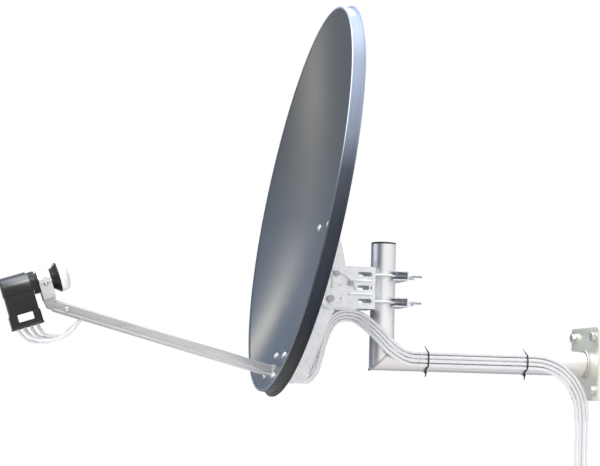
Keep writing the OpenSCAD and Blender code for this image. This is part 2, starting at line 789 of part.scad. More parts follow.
module feed_cap() {
  color("white") lnb_frame() rotate([-90, 0, 0]) rotate_extrude() polygon(concat(
    [[26.2, 0.03], [28.4, 0.03]],
    [for (i = [0 : 17]) dome(i, 28.4, 15) + [0, 5]],
    [[0, 20], [0, 18.4]],
    [for (i = [17 : -1 : 0]) dome(i, 26.2, 13.4) + [0, 5]]
  ));
}
module feed_horn() {
  color("silver") lnb_frame() difference() {
    union() {
      rod_y(17.95, -62, -4);
      rod_y(22.8, -1.95, 4);
      rod_y(17.95, -5, -1);
    }
    rod_y(9.6, -63, 5);
    difference() {
      rod_y(21, -1, 5);
      rod_y(18.8, -2, 6);
    }
    difference() {
      rod_y(16.6, -6, 5);
      rod_y(14.2, -7, 6);
    }
  }
}
module lnb_board() {
  color("green") lnb_frame() difference() {
    union() {
      block([-21, 21], [-66, -64], [-46, -5]);
      block([-14, 14], [-66, -64], [-6, 15]);
    }
    for (t = [-40, 10]) translate([0, 0, t]) rod_y(1.6, -67, -63);
  }
}
module f_ports() {
  color("goldenrod") lnb_frame() for (s = port_s) translate([0, s, 0]) {
    translate([0, 0, floor_t - 9]) difference() {
      cylinder(r = 4.7, h = 13);
      translate([0, 0, -1]) cylinder(r = 2.6, h = 10);
    }
    translate([0, 0, floor_t + 2]) cylinder(r = 6, h = 2);
  }
}
module f_plugs() {
  color("silver") lnb_frame() for (s = port_s) translate([0, s, 0]) difference() {
    union() {
      translate([0, 0, floor_t - 10]) hex(11, 8.5);
      translate([0, 0, floor_t - 19]) cylinder(r = 4.5, h = 9.5);
    }
    translate([0, 0, floor_t - 9.5]) cylinder(r = 4.72, h = 9);
    translate([0, 0, floor_t - 20]) cylinder(r = cable_r + 0.02, h = 12);
  }
}
cover_top = -48.6;
cover_low = -76.5;
module cover_box(grow, t0, t1) {
  block([-low_x - grow, low_x + grow], [body_s0 - grow, body_s1 + grow], [t0, t1]);
}
module connector_cover() {
  color("dimgray") lnb_frame() difference() {
    union() {
      cover_box(2.1, cover_low, cover_top);
      cover_box(3.4, cover_low, cover_low + 3);
      for (x = [-1, 1]) translate([x * (low_x + 2), body_s, cover_low + 8]) rod_x_axis(3, x > 0 ? 0 : -1, x > 0 ? 1 : 0);
    }
    cover_box(0.1, cover_low - 1, cover_top + 1);
  }
}
module cover_label() {
  color("white") lnb_frame()
    block([low_x + 2.12, low_x + 2.3], [body_s - 15, body_s + 15], [-64.5, -50.2]);
}

wall_plate();
plate_weld();
arm_tube();
mitre_weld();
mast_tube();
mast_cap();
wall_bolts();
wall_washers();
cable_ties();
wall_cables();
mount_bracket();
clamp_rods();
jaw_upper();
jaw_nuts_upper();
jaw_lower();
jaw_nuts_lower();
pivot_bolt();
pivot_washers();
pivot_nut();
mast_loop_cables();
backbone();
reflector();
reflector_bolts();
reflector_nuts();
lock_bolts();
lock_washers();
lock_nuts();
arm_socket();
socket_screws();
feed_arm();
arm_screws();
arm_cables();
rear_loop_cables();
lnb_holder();
holder_screws();
clamp_cap();
clamp_screws();
clamp_nuts();
lnb_loop_cables();
lnb_body();
lnb_hood();
feed_cap();
cap_ring();
feed_horn();
lnb_board();
f_ports();
f_plugs();
connector_cover();
cover_label();
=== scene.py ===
"""Looks for the satellite dish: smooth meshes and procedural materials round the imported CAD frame."""

import math

import bmesh
import bpy
import numpy as np
from mathutils import Matrix, Vector


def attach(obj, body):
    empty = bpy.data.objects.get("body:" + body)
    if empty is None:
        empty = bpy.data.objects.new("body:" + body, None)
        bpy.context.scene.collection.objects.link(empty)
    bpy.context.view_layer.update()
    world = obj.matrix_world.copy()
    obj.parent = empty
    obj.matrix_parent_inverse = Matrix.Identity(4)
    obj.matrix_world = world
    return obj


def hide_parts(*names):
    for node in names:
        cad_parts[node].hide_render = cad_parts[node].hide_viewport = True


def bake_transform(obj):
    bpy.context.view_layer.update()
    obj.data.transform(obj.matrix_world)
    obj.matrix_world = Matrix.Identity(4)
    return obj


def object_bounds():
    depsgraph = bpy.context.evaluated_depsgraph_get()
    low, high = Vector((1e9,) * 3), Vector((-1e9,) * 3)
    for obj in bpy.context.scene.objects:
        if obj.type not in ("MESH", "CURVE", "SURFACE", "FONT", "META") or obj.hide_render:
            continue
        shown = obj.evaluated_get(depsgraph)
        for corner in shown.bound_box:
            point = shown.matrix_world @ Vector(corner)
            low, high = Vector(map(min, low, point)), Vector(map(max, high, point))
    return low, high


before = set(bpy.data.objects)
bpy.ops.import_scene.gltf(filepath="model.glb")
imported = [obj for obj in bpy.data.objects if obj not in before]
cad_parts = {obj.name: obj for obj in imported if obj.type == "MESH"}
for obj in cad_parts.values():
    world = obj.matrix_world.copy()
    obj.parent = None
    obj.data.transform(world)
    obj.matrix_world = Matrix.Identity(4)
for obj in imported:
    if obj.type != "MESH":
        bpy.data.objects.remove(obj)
cad_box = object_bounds()
MM = 0.001

# ---------------------------------------------------------------- sizes, millimetres, as in the CAD source
TUBE_R, TUBE_T, MAST_Y, MAST_TOP = 25.0, 2.5, -440.0, 230.0
PLATE_HALF, PLATE_T, WALL_BOLT = 75.0, 5.0, 55.0
RIM_A, RIM_B, RIM_Y, RIM_Z, FACE_TILT, FOCAL = 394.0, 355.0, -622.0, 316.0, 9.3, 430.0
SHEET_T = 1.6
PIVOT_Y, PIVOT_Z, SLOT_R, LOCK_A = -557.0, 114.0, 52.0, (38.0, 76.5)
PLATE_OUT, ROD_X, ROD_Z = 36.7, 28.8, (165.0, 111.5)
PIVOT_HEX, ROD_HEX, WASHER_T = 13, 10, 1.6
BRK_BACK = MAST_Y - TUBE_R - 0.05
BOLT_X, BOLT_R = 40.2, (402.0, 139.0, 93.0)
ARM_Y, ARM_Z, ARM_RISE, ARM_H = -859.0, 18.0, 14.8, 22.0
LANE_BACK, LANE_FRONT = 250.0, -160.0
LNB_Y, LNB_Z, LNB_RISE = -1092.0, 137.5, 18.5
CABLE_R, FLOOR_T, SEAM_T, HOOD_R, BOX_X = 3.4, -56.0, -11.0, 25.0, 24.0
PORT_S = (-64.0, -77.0, -90.0, -103.0)
BOX_S, BOX_HALF, HOOD_S = -83.5, 28.5, 45.0
OFFSET = math.degrees(math.acos(RIM_B / RIM_A))
BEAM = FACE_TILT + OFFSET
RIM_OFF = 2 * FOCAL * math.tan(math.radians(OFFSET))
RIM_DEPTH = (RIM_OFF**2 + RIM_B**2) / (4 * FOCAL)


def cosd(a):
    return math.cos(math.radians(a))


def sind(a):
    return math.sin(math.radians(a))


VERTEX_Y = RIM_Y - RIM_OFF * sind(BEAM) + RIM_DEPTH * cosd(BEAM)
VERTEX_Z = RIM_Z - RIM_OFF * cosd(BEAM) - RIM_DEPTH * sind(BEAM)


def at(x, y, z):
    return Matrix.Translation((x, y, z))


def turn(deg, axis):
    return Matrix.Rotation(math.radians(deg), 4, axis)


ARM = at(0, ARM_Y, ARM_Z) @ turn(-ARM_RISE, "X")
LNB = at(0, LNB_Y, LNB_Z) @ turn(LNB_RISE, "X")
BEAM_M = at(0, VERTEX_Y, VERTEX_Z) @ turn(90 - BEAM, "X")
RIM_M = at(0, RIM_Y, RIM_Z) @ turn(90 - FACE_TILT, "X")
TO_PX, TO_NX = turn(90, "Y"), turn(-90, "Y")
TO_PY, TO_NY = turn(-90, "X"), turn(90, "X")


def on_bowl(x, r):
    lean = math.atan(x / (2 * FOCAL))
    lift = math.atan(r / (2 * FOCAL) * math.cos(lean))
    m = BEAM_M @ at(x, r, (r * r + x * x) / (4 * FOCAL))
    return m @ Matrix.Rotation(-lean, 4, "Y") @ Matrix.Rotation(lift, 4, "X")


# ---------------------------------------------------------------- mesh building
class Shape:
    def __init__(self):
        self.v, self.f = [], []

    def add(self, part, m=Matrix.Identity(4)):
        v, f = part
        a = np.array(m)
        n = len(self.v)
        self.v.extend((np.asarray(v, float) @ a[:3, :3].T + a[:3, 3]).tolist())
        self.f.extend([[i + n for i in q] for q in f])
        return self


def rings(loops, cyclic=False, cap=True):
    """Quads between loops of equal length; loops run round the same way."""
    k = len(loops[0])
    v = [p for loop in loops for p in loop]
    f = []
    n = len(loops)
    for i in range(n if cyclic else n - 1):
        a, b = i * k, ((i + 1) % n) * k
        for j in range(k):
            q = (j + 1) % k
            f.append([a + j, a + q, b + q, b + j])
    if cap and not cyclic:
        f.append(list(range(k))[::-1])
        f.append([(n - 1) * k + j for j in range(k)])
    return v, f


def round_loop(r, z, n):
    return [(r * math.cos(2 * math.pi * j / n), r * math.sin(2 * math.pi * j / n), z) for j in range(n)]


def lathe(profile, n=48, cyclic=False):
    """Turns (r, z) points round Z."""
    return rings([round_loop(r, z, n) for r, z in profile], cyclic=cyclic)


def hex_r(af, a):
    """Radius of a hexagon, af across its flats, at angle a."""
    b = (math.degrees(a) + 30) % 60 - 30
    return af / 2 / cosd(b)


def hexagon(af, h, low_chamfer=False, bore=0, n=48):
    """A hex head or nut from z 0 to h, with the turned chamfer a real one has."""
    big = af / 2 / cosd(30)
    levels = [(0, big * 0.93 if low_chamfer else 1e9), (big * 0.1 if low_chamfer else 0.05, 1e9)]
    levels += [(h - big * 0.13, 1e9), (h - big * 0.05, big * 0.965), (h, big * 0.9)]
    loops = []
    for z, cap in levels:
        loop = []
        for j in range(n):
            a = 2 * math.pi * j / n
            r = min(hex_r(af, a), cap)
            loop.append((r * math.cos(a), r * math.sin(a), z))
        loops.append(loop)
    if not bore:
        top = [(x * 0.5, y * 0.5, h + 0.001) for x, y, z in loops[-1]]
        return rings(loops + [top])
    hole = ((h, bore + 0.4), (h - 0.4, bore), (0.4, bore), (0, bore + 0.4))
    loops += [round_loop(r, z, n) for z, r in hole]
    return rings(loops, cyclic=True)


def threaded(r, z0, z1, pitch, depth, n=24):
    """A screw thread: a real helix, tapering out at both ends."""
    steps = max(2, int((z1 - z0) / pitch * 4))
    loops = []
    for i in range(steps + 1):
        z = z0 + (z1 - z0) * i / steps
        fade = min(1.0, (z - z0) / pitch, (z1 - z) / pitch + 0.15)
        loop = []
        for j in range(n):
            a = 2 * math.pi * j / n
            t = (z / pitch - j / n) % 1.0
            rr = r - depth * fade * abs(2 * t - 1)
            loop.append((rr * math.cos(a), rr * math.sin(a), z))
        loops.append(loop)
    return rings(loops)


def shank(r, z0, z1, n=24):
    c = min(0.5, r * 0.2)
    return lathe([(r - c, z0), (r, z0 + c), (r, z1 - c), (r - c, z1)], n)


def washer(ro, ri, t):
    c = 0.25
    low = [(ri, c), (ri + c, 0), (ro - c, 0), (ro, c)]
    high = [(ro, t - c), (ro - c, t), (ri + c, t), (ri, t - c)]
    return lathe(low + high, 40, True)


def cup_head(r, h, n=32):
    pts = [(r, 0), (r, 0.35)]
    pts += [(r * cosd(a), 0.35 + (h - 0.35) * sind(a)) for a in range(10, 90, 10)]
    return lathe(pts + [(r * 0.06, h)], n)


def pan_head(r, h):
    """A screw head with a shallow round recess."""
    dome = [(r, 0), (r, h * 0.55), (r * 0.92, h * 0.85), (r * 0.75, h)]
    recess = [(r * 0.6, h), (r * 0.6, h - 0.5), (0.2, h - 0.7)]
    return lathe(dome + recess, 32)


def around(centre, r, u, w, sides):
    """A loop of radius r round a point, in the plane of u and w."""
    turns = np.linspace(0, 2 * math.pi, sides, endpoint=False)
    return [tuple(centre + r * (u * math.cos(a) + w * math.sin(a))) for a in turns]


def sweep(path, radius, sides, taper):
    """A round bar along a path; taper scales its radius at each point."""
    p = np.array(path, float)
    t = np.gradient(p, axis=0)
    t /= np.linalg.norm(t, axis=1)[:, None]
    up = np.array([1.0, 0, 0]) if abs(t[0][0]) < 0.9 else np.array([0, 1.0, 0])
    u = np.cross(t[0], up)
    u /= np.linalg.norm(u)
    loops = []
    for i in range(len(p)):
        u = u - t[i] * (u @ t[i])
        u /= np.linalg.norm(u)
        loops.append(around(p[i], radius * taper[i], u, np.cross(t[i], u), sides))
    return rings(loops)


def round_ends(path):
    """Taper for sweep that rounds off both cut ends a little."""
    k = np.ones(len(path))
    k[0] = k[-1] = 0.86
    return k


def catmull(points, n=10):
    """A smooth path through points, n steps to each span."""
    p = [np.array(q, float) for q in points]
    p = [2 * p[0] - p[1]] + p + [2 * p[-1] - p[-2]]
    out = []
    for i in range(1, len(p) - 2):
        a, b, c, d = p[i - 1 : i + 3]
        t0, t1 = 0.0, np.linalg.norm(b - a) ** 0.5
        t2 = t1 + np.linalg.norm(c - b) ** 0.5
        t3 = t2 + np.linalg.norm(d - c) ** 0.5
        for j in range(n):
            t = t1 + (t2 - t1) * j / n
            a1 = (t1 - t) / (t1 - t0) * a + (t - t0) / (t1 - t0) * b
            a2 = (t2 - t) / (t2 - t1) * b + (t - t1) / (t2 - t1) * c
            a3 = (t3 - t) / (t3 - t2) * c + (t - t2) / (t3 - t2) * d
            b1 = (t2 - t) / (t2 - t0) * a1 + (t - t0) / (t2 - t0) * a2
            b2 = (t3 - t) / (t3 - t1) * a2 + (t - t1) / (t3 - t1) * a3
            out.append((t2 - t) / (t2 - t1) * b1 + (t - t1) / (t2 - t1) * b2)
    out.append(p[-2])
    return np.array(out)


def rounded_rect(hx, hy, r, n=6):
    pts = []
    corners = ((hx - r, hy - r, 0), (-hx + r, hy - r, 90), (-hx + r, -hy + r, 180), (hx - r, -hy + r, 270))
    for cx, cy, a0 in corners:
        for i in range(n + 1):
            a = a0 + 90 * i / n
            pts.append((cx + r * cosd(a), cy + r * sind(a)))
    return pts


def grow(outline, d):
    """Moves an outline outwards along its own normals."""
    p = np.array(outline, float)
    t = np.roll(p, -1, 0) - np.roll(p, 1, 0)
    t /= np.linalg.norm(t, axis=1)[:, None] + 1e-12
    return p + d * np.stack([t[:, 1], -t[:, 0]], 1)


def pillow(outline, z0, z1, r0, r1, steps=4):
    """Extrudes an outline from z0 to z1 with its end edges rounded by r0 and r1."""
    turns = [90 * i / steps for i in range(steps + 1)]
    levels = [(z0 + r0 * (1 - sind(a)), -r0 * (1 - cosd(a))) for a in reversed(turns)]
    levels += [(z1 - r1 * (1 - sind(a)), -r1 * (1 - cosd(a))) for a in turns]
    return rings([[(x, y, z) for x, y in grow(outline, d)] for z, d in levels])


def flat_plate(outlines, thick, bevel):
    """A sheet with holes: the first outline is the edge, the rest are holes. Lies in XY from z 0 to thick."""
    cu = bpy.data.curves.new("plate", "CURVE")
    cu.dimensions, cu.fill_mode = "2D", "BOTH"
    cu.extrude, cu.offset = thick / 2 - bevel, -bevel
    cu.bevel_depth, cu.bevel_resolution = bevel, 2
    for loop in outlines:
        sp = cu.splines.new("POLY")
        sp.points.add(len(loop) - 1)
        for i, (x, y) in enumerate(loop):
            sp.points[i].co = (x, y, 0, 1)
        sp.use_cyclic_u = True
    ob = bpy.data.objects.new("plate", cu)
    me = bpy.data.meshes.new_from_object(ob)
    v = [(p.co.x, p.co.y, p.co.z + thick / 2) for p in me.vertices]
    f = [list(q.vertices) for q in me.polygons]
    bpy.data.objects.remove(ob)
    bpy.data.curves.remove(cu)
    bpy.data.meshes.remove(me)
    return v, f


def make(name, shape, mat, body, nodes=(), sharp=38):
    """Makes a shown piece from a shape in millimetres, riding a body and replacing CAD nodes."""
    me = bpy.data.meshes.new(name)
    me.from_pydata([tuple(c * MM for c in p) for p in shape.v], [], shape.f)
    bm = bmesh.new()
    bm.from_mesh(me)
    bmesh.ops.remove_doubles(bm, verts=bm.verts, dist=2e-7)
    bmesh.ops.recalc_face_normals(bm, faces=bm.faces)
    bm.to_mesh(me)
    bm.free()
    for p in me.polygons:
        p.use_smooth = True
    me.set_sharp_from_angle(angle=math.radians(sharp))
    ob = bpy.data.objects.new(name, me)
    bpy.context.scene.collection.objects.link(ob)
    me.materials.append(MATS[mat])
    if body:
        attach(ob, body)
    if nodes:
        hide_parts(*nodes)
    return ob


def polish(node, mat, width=0.35):
    """Keeps a CAD node, softening its edges and giving it a material."""
    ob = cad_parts[node]
    me = ob.data
    if "custom_normal" in me.attributes:
        me.attributes.remove(me.attributes["custom_normal"])
    for p in me.polygons:
        p.use_smooth = True
    me.materials.clear()
    me.materials.append(MATS[mat])
    weld = ob.modifiers.new("weld", "WELD")
    weld.merge_threshold = 2e-6
    if width:
        b = ob.modifiers.new("bevel", "BEVEL")
        b.width, b.segments, b.use_clamp_overlap = width * MM, 2, True
        b.limit_method, b.angle_limit = "ANGLE", math.radians(32)
    ob.modifiers.new("weighted", "WEIGHTED_NORMAL").keep_sharp = False


# ---------------------------------------------------------------- materials
MATS = {}


def material(name, base, metallic, rough, vary=0.08, grain=40.0, stretch=(1, 1, 1), bump=0.05, bump_mm=0.1,
             cloud=6.0, scratch=0.0, spangle=0.0, coat=0.0, dirt=0.0, dirt_tone=(0.35, 0.31, 0.26),
             rough_vary=0.12, ior=1.45):
    """A procedural material: clouds of tone, fine grain stretched along the work, and optional wear."""
    m = bpy.data.materials.new(name)
    m.use_nodes = True
    nt = m.node_tree
    nt.nodes.clear()
    new, link = nt.nodes.new, nt.links.new
    out, bsdf = new("ShaderNodeOutputMaterial"), new("ShaderNodeBsdfPrincipled")
    link(bsdf.outputs[0], out.inputs[0])
    co = new("ShaderNodeTexCoord")

    def noise(scale, detail=3.0, stretched=False, rough_n=0.5):
        src = co.outputs["Object"]
        if stretched:
            mp = new("ShaderNodeMapping")
            mp.inputs["Scale"].default_value = stretch
            link(src, mp.inputs[0])
            src = mp.outputs[0]
        n = new("ShaderNodeTexNoise")
        n.inputs["Scale"].default_value = scale
        n.inputs["Detail"].default_value = detail
        n.inputs["Roughness"].default_value = rough_n
        link(src, n.inputs["Vector"])
        return n.outputs["Fac"]

    def ramp(src, lo, hi, a=0.0, b=1.0):
        r = new("ShaderNodeMapRange")
        r.inputs["From Min"].default_value, r.inputs["From Max"].default_value = lo, hi
        r.inputs["To Min"].default_value, r.inputs["To Max"].default_value = a, b
        link(src, r.inputs[0])
        return r.outputs[0]

    def mix(fac, a, b, kind="MIX"):
        x = new("ShaderNodeMix")
        x.data_type, x.blend_type = "RGBA", kind
        for sock, val in ((x.inputs[0], fac), (x.inputs[6], a), (x.inputs[7], b)):
            if isinstance(val, bpy.types.NodeSocket):
                link(val, sock)
            else:
                sock.default_value = (*val, 1) if isinstance(val, tuple) else val
        return x.outputs[2]

    def shade(k):
        return tuple(max(0.0, min(1.0, c * k)) for c in base)

    clouds = noise(cloud, 4)
    fine = noise(grain, 4, stretched=True)
    col = mix(ramp(clouds, 0.3, 0.7), shade(1 - vary), shade(1 + vary))
    col = mix(ramp(fine, 0.35, 0.65, 0, 0.5), col, shade(1 + vary * 0.6))
    rough_out = ramp(clouds, 0.3, 0.7, max(0.02, rough - rough_vary * 0.5), rough + rough_vary * 0.5)
    height = fine
    if spangle:
        vo = new("ShaderNodeTexVoronoi")
        vo.inputs["Scale"].default_value = 140.0
        link(co.outputs["Object"], vo.inputs["Vector"])
        sep = new("ShaderNodeSeparateColor")
        link(vo.outputs["Color"], sep.inputs[0])
        col = mix(ramp(sep.outputs[0], 0, 1, 0, spangle), col, shade(0.72))
        add = new("ShaderNodeMath")
        add.operation = "MULTIPLY_ADD"
        link(sep.outputs[1], add.inputs[0])
        add.inputs[1].default_value = 0.18
        link(rough_out, add.inputs[2])
        rough_out = add.outputs[0]
    if scratch:
        sc = noise(grain * 0.5, 2, stretched=True)
        line = ramp(sc, 0.64, 0.67)
        col = mix(ramp(line, 0, 1, 0, scratch), col, shade(1.35))
        mul = new("ShaderNodeMath")
        mul.operation = "MULTIPLY_ADD"
        link(line, mul.inputs[0])
        mul.inputs[1].default_value = scratch * 0.35
        link(rough_out, mul.inputs[2])
        rough_out = mul.outputs[0]
    if dirt:
        geo = new("ShaderNodeNewGeometry")
        edge = ramp(geo.outputs["Pointiness"], 0.44, 0.5, 1, 0)
        spots = ramp(noise(9.0, 6, rough_n=0.65), 0.55, 0.75)
        both = new("ShaderNodeMath")
        both.operation = "MAXIMUM"
        link(edge, both.inputs[0])
        link(spots, both.inputs[1])
        col = mix(ramp(both.outputs[0], 0, 1, 0, dirt), col, dirt_tone)
    link(col, bsdf.inputs["Base Color"])
    link(rough_out, bsdf.inputs["Roughness"])
    bsdf.inputs["Metallic"].default_value = metallic
    bsdf.inputs["IOR"].default_value = ior
    if coat:
        bsdf.inputs["Coat Weight"].default_value = coat
        bsdf.inputs["Coat Roughness"].default_value = 0.08
    bp = new("ShaderNodeBump")
    bp.inputs["Strength"].default_value = bump
    bp.inputs["Distance"].default_value = bump_mm * MM
    link(height, bp.inputs["Height"])
    link(bp.outputs[0], bsdf.inputs["Normal"])
    MATS[name] = m


# how the fine grain is stretched
EVEN, ALONG_Y, ALONG_Z = (1, 1, 1), (1, 0.05, 1), (1, 1, 0.05)
material("plate_metal", (0.84, 0.82, 0.69), 0.75, 0.34, 0.06, 260, (1, 1, 0.08), 0.12, 0.05,
         cloud=9, scratch=0.25)
material("tube_metal", (0.95, 0.945, 0.95), 1.0, 0.38, 0.05, 420, ALONG_Y, 0.15, 0.04, cloud=7, scratch=0.12)
material("mast_metal", (0.92, 0.92, 0.93), 1.0, 0.40, 0.05, 420, ALONG_Z, 0.15, 0.04, cloud=7, scratch=0.12)
material("weld", (0.62, 0.62, 0.60), 1.0, 0.34, 0.16, 500, EVEN, 0.5, 0.25, cloud=60, dirt=0.25,
         dirt_tone=(0.2, 0.17, 0.14))
material("black_plastic", (0.022, 0.022, 0.025), 0.0, 0.45, 0.2, 900, EVEN, 0.3, 0.06, cloud=30)
material("tie_plastic", (0.02, 0.02, 0.022), 0.0, 0.38, 0.2, 700, EVEN, 0.3, 0.05, cloud=40)
material("seal_rubber", (0.02, 0.02, 0.02), 0.0, 0.6, 0.2, 600)
material("fastener_zinc", (0.72, 0.73, 0.74), 1.0, 0.26, 0.08, 500, EVEN, 0.25, 0.05, cloud=60, dirt=0.12)
material("fastener_dark", (0.40, 0.40, 0.42), 1.0, 0.30, 0.2, 500, EVEN, 0.25, 0.05, cloud=60, dirt=0.3,
         dirt_tone=(0.12, 0.11, 0.10))
material("galvanised", (0.86, 0.88, 0.90), 1.0, 0.42, 0.06, 120, EVEN, 0.12, 0.06, cloud=8, spangle=0.22,
         dirt=0.06)
material("arm_zinc", (0.56, 0.555, 0.545), 0.75, 0.36, 0.06, 260, (1, 0.04, 1), 0.15, 0.05, cloud=9,
         scratch=0.18, dirt=0.05)
material("jaw_steel", (0.78, 0.79, 0.82), 0.95, 0.34, 0.14, 300, EVEN, 0.25, 0.08, cloud=80, dirt=0.1,
         dirt_tone=(0.3, 0.27, 0.24))
material("cable_jacket", (0.60, 0.585, 0.575), 0.0, 0.34, 0.03, 240, EVEN, 0.1, 0.08, cloud=18, dirt=0.07,
         coat=0.2)
material("reflector_paint", (0.025, 0.034, 0.048), 0.0, 0.36, 0.08, 1400, EVEN, 0.004, 0.003, cloud=4,
         dirt=0.01, dirt_tone=(0.12, 0.11, 0.10), rough_vary=0.05, ior=1.5)
material("reflector_skirt", (0.020, 0.023, 0.030), 0.0, 0.22, 0.10, 900, EVEN, 0.02, 0.01, cloud=5,
         dirt=0.02, dirt_tone=(0.16, 0.13, 0.10), rough_vary=0.06, ior=1.5)
# the rim bead's light metallic tone is a painted highlight line along the edge of the face
material("reflector_edge", (0.42, 0.45, 0.50), 0.8, 0.30, 0.12, 500, EVEN, 0.06, 0.02, cloud=12, dirt=0.05)
LNB_TONE = (0.011, 0.010, 0.011)
material("lnb_plastic", LNB_TONE, 0.0, 0.23, 0.15, 1200, EVEN, 0.1, 0.02, cloud=20, dirt=0.01, ior=1.39,
         rough_vary=0.06)
material("hood_plastic", LNB_TONE, 0.0, 0.25, 0.15, 1200, EVEN, 0.1, 0.02, cloud=20, dirt=0.01, ior=1.39,
         rough_vary=0.06)
material("cap_plastic", (0.66, 0.64, 0.58), 0.0, 0.38, 0.03, 500, EVEN, 0.1, 0.05, cloud=15, coat=0.2)
material("horn_metal", (0.68, 0.68, 0.67), 1.0, 0.45, 0.1, 400, EVEN, 0.3, 0.1)
material("board", (0.03, 0.17, 0.08), 0.0, 0.35, 0.2, 300, EVEN, 0.4, 0.1, cloud=90)
material("port_metal", (0.74, 0.70, 0.60), 1.0, 0.25, 0.08, 400)
material("plug_metal", (0.72, 0.72, 0.70), 1.0, 0.28, 0.08, 400)
material("label_white", (0.70, 0.70, 0.72), 0.0, 0.42, 0.03, 500, EVEN, 0.1, 0.03, cloud=30, dirt=0.05)


def fill_ramp(ramp, stops):
    """Sets a colour ramp from (position, colour) pairs, in rising order from 0 to 1."""
    el = ramp.elements
    for e, (where, c) in ((el[0], stops[0]), (el[len(el) - 1], stops[-1])):
        e.position, e.color = where, (*c, 1)
    for where, c in stops[1:-1]:
        el.new(where).color = (*c, 1)


def by_height(name, socket, stops):
    """Scales one input of a material by height in the object, from (metres, factor) pairs."""
    nt = MATS[name].node_tree
    new, link = nt.nodes.new, nt.links.new
    bsdf = next(n for n in nt.nodes if n.type == "BSDF_PRINCIPLED")
    sock = bsdf.inputs[socket]
    low, high = stops[0][0], stops[-1][0]
    co, sep = new("ShaderNodeTexCoord"), new("ShaderNodeSeparateXYZ")
    link(co.outputs["Object"], sep.inputs[0])
    span = new("ShaderNodeMapRange")
    span.inputs["From Min"].default_value, span.inputs["From Max"].default_value = low, high
    link(sep.outputs[2], span.inputs[0])
    ramp = new("ShaderNodeValToRGB")
    link(span.outputs[0], ramp.inputs[0])
    tones = [(z, k if isinstance(k, tuple) else (k, k, k)) for z, k in stops]
    fill_ramp(ramp.color_ramp, [((z - low) / (high - low), k) for z, k in tones])
    if socket == "Base Color":
        mul = new("ShaderNodeMix")
        mul.data_type, mul.blend_type = "RGBA", "MULTIPLY"
        mul.inputs[0].default_value = 1.0
        link(sock.links[0].from_socket, mul.inputs[6])
        link(ramp.outputs[0], mul.inputs[7])
        link(mul.outputs[2], sock)
        return
    mul = new("ShaderNodeMath")
    mul.operation = "MULTIPLY"
    if sock.is_linked:
        link(sock.links[0].from_socket, mul.inputs[0])
    else:
        mul.inputs[0].default_value = sock.default_value
    link(ramp.outputs[0], mul.inputs[1])
    link(mul.outputs[0], sock)


# tone and gloss that change with height, like what is mirrored in each surface: the base colour ramps are
# painted reflection and painted shade; the roughness and specular ramps change only the gloss
by_height("reflector_paint", "Roughness", [
    (-0.08, 0.62), (0.08, 0.66), (0.2, 0.88), (0.3, 1.12), (0.42, 1.06), (0.55, 0.95), (0.71, 0.95)])
# painted reflection and shade: the dish face is painted lighter and bluer low down, where it faces the sky,
# and darker towards the top
by_height("reflector_paint", "Base Color", [
    (-0.08, (1.3, 1.4, 1.5)), (0.12, (1.4, 1.55, 1.65)), (0.28, (1.2, 1.27, 1.34)), (0.45, 0.8), (0.58, 0.5),
    (0.71, 0.45)])
by_height("reflector_skirt", "Specular IOR Level", [
    (-0.08, 0.35), (0.02, 0.10), (0.25, 0.30), (0.45, 0.8), (0.62, 1.0), (0.71, 1.0)])
# painted reflection: the skirt is painted up to twenty times lighter towards the top, and warmer and lighter
# at the bottom lip
by_height("reflector_skirt", "Base Color", [
    (-0.08, (2.3, 1.9, 1.3)), (-0.01, (1.6, 1.4, 1.1)), (0.06, 1.0), (0.24, 1.5), (0.33, 2.4), (0.40, 7.5),
    (0.55, 12.0), (0.63, 20.0), (0.71, 20.0)])
# painted highlight: the rim bead's line is painted brightest at the top and dimmest a little above the bottom
by_height("reflector_edge", "Base Color", [
    (-0.08, 0.9), (0.02, 0.5), (0.14, 0.2), (0.3, 0.3), (0.4, 0.9), (0.6, 1.5), (0.71, 1.5)])
# painted reflection and shade: the arm, socket, holder and clamp are painted lighter near the dish and at the
# LNB clamp, darker in between
by_height("arm_zinc", "Base Color", [
    (-0.07, 1.4), (-0.01, 1.15), (0.05, 0.8), (0.08, 0.72), (0.11, 1.1), (0.17, 1.5)])
by_height("hood_plastic", "Specular IOR Level", [(0.10, 1.0), (0.115, 1.3), (0.127, 5.0), (0.14, 5.0)])

# ---------------------------------------------------------------- wall bracket
g = Shape()
edge = rounded_rect(PLATE_HALF, PLATE_HALF, 8, 8)
corners = [(x, z) for x in (-WALL_BOLT, WALL_BOLT) for z in (-WALL_BOLT, WALL_BOLT)]
holes = [[(x + u, z + w) for u, w, _ in round_loop(5.5, 0, 40)] for x, z in corners]
g.add(flat_plate([edge] + holes, PLATE_T, 0.6), TO_NY)
make("wall_plate_look", g, "plate_metal", "wall", ["wall_plate"])

TUBE_SIDES = 96
ang = [2 * math.pi * j / TUBE_SIDES for j in range(TUBE_SIDES)]


def pipe(r0, r1, low, high, to_world):
    """A hollow tube; low and high give each end's place at an angle, so it can be mitred."""
    c = 0.4
    steps = [(r1, low, 0), (r1 + c, low, 0), (r0 - c, low, 0), (r0, low, c)]
    steps += [(r0, high, -c), (r0 - c, high, 0), (r1 + c, high, 0), (r1, high, -c)]
    rows = [[to_world(r, a, fn(r, a) + push) for a in ang] for r, fn, push in steps]
    return rings(rows, cyclic=True)


g = Shape().add(pipe(
    TUBE_R, TUBE_R - TUBE_T, lambda r, a: MAST_Y + r * math.sin(a), lambda r, a: -PLATE_T,
    lambda r, a, s: (r * math.cos(a), s, r * math.sin(a))))
make("arm_tube_look", g, "tube_metal", "wall", ["arm_tube"])
g = Shape().add(pipe(
    TUBE_R, TUBE_R - TUBE_T, lambda r, a: r * math.sin(a), lambda r, a: MAST_TOP,
    lambda r, a, s: (r * math.cos(a), MAST_Y + r * math.sin(a), s)))
make("mast_tube_look", g, "mast_metal", "wall", ["mast_tube"])


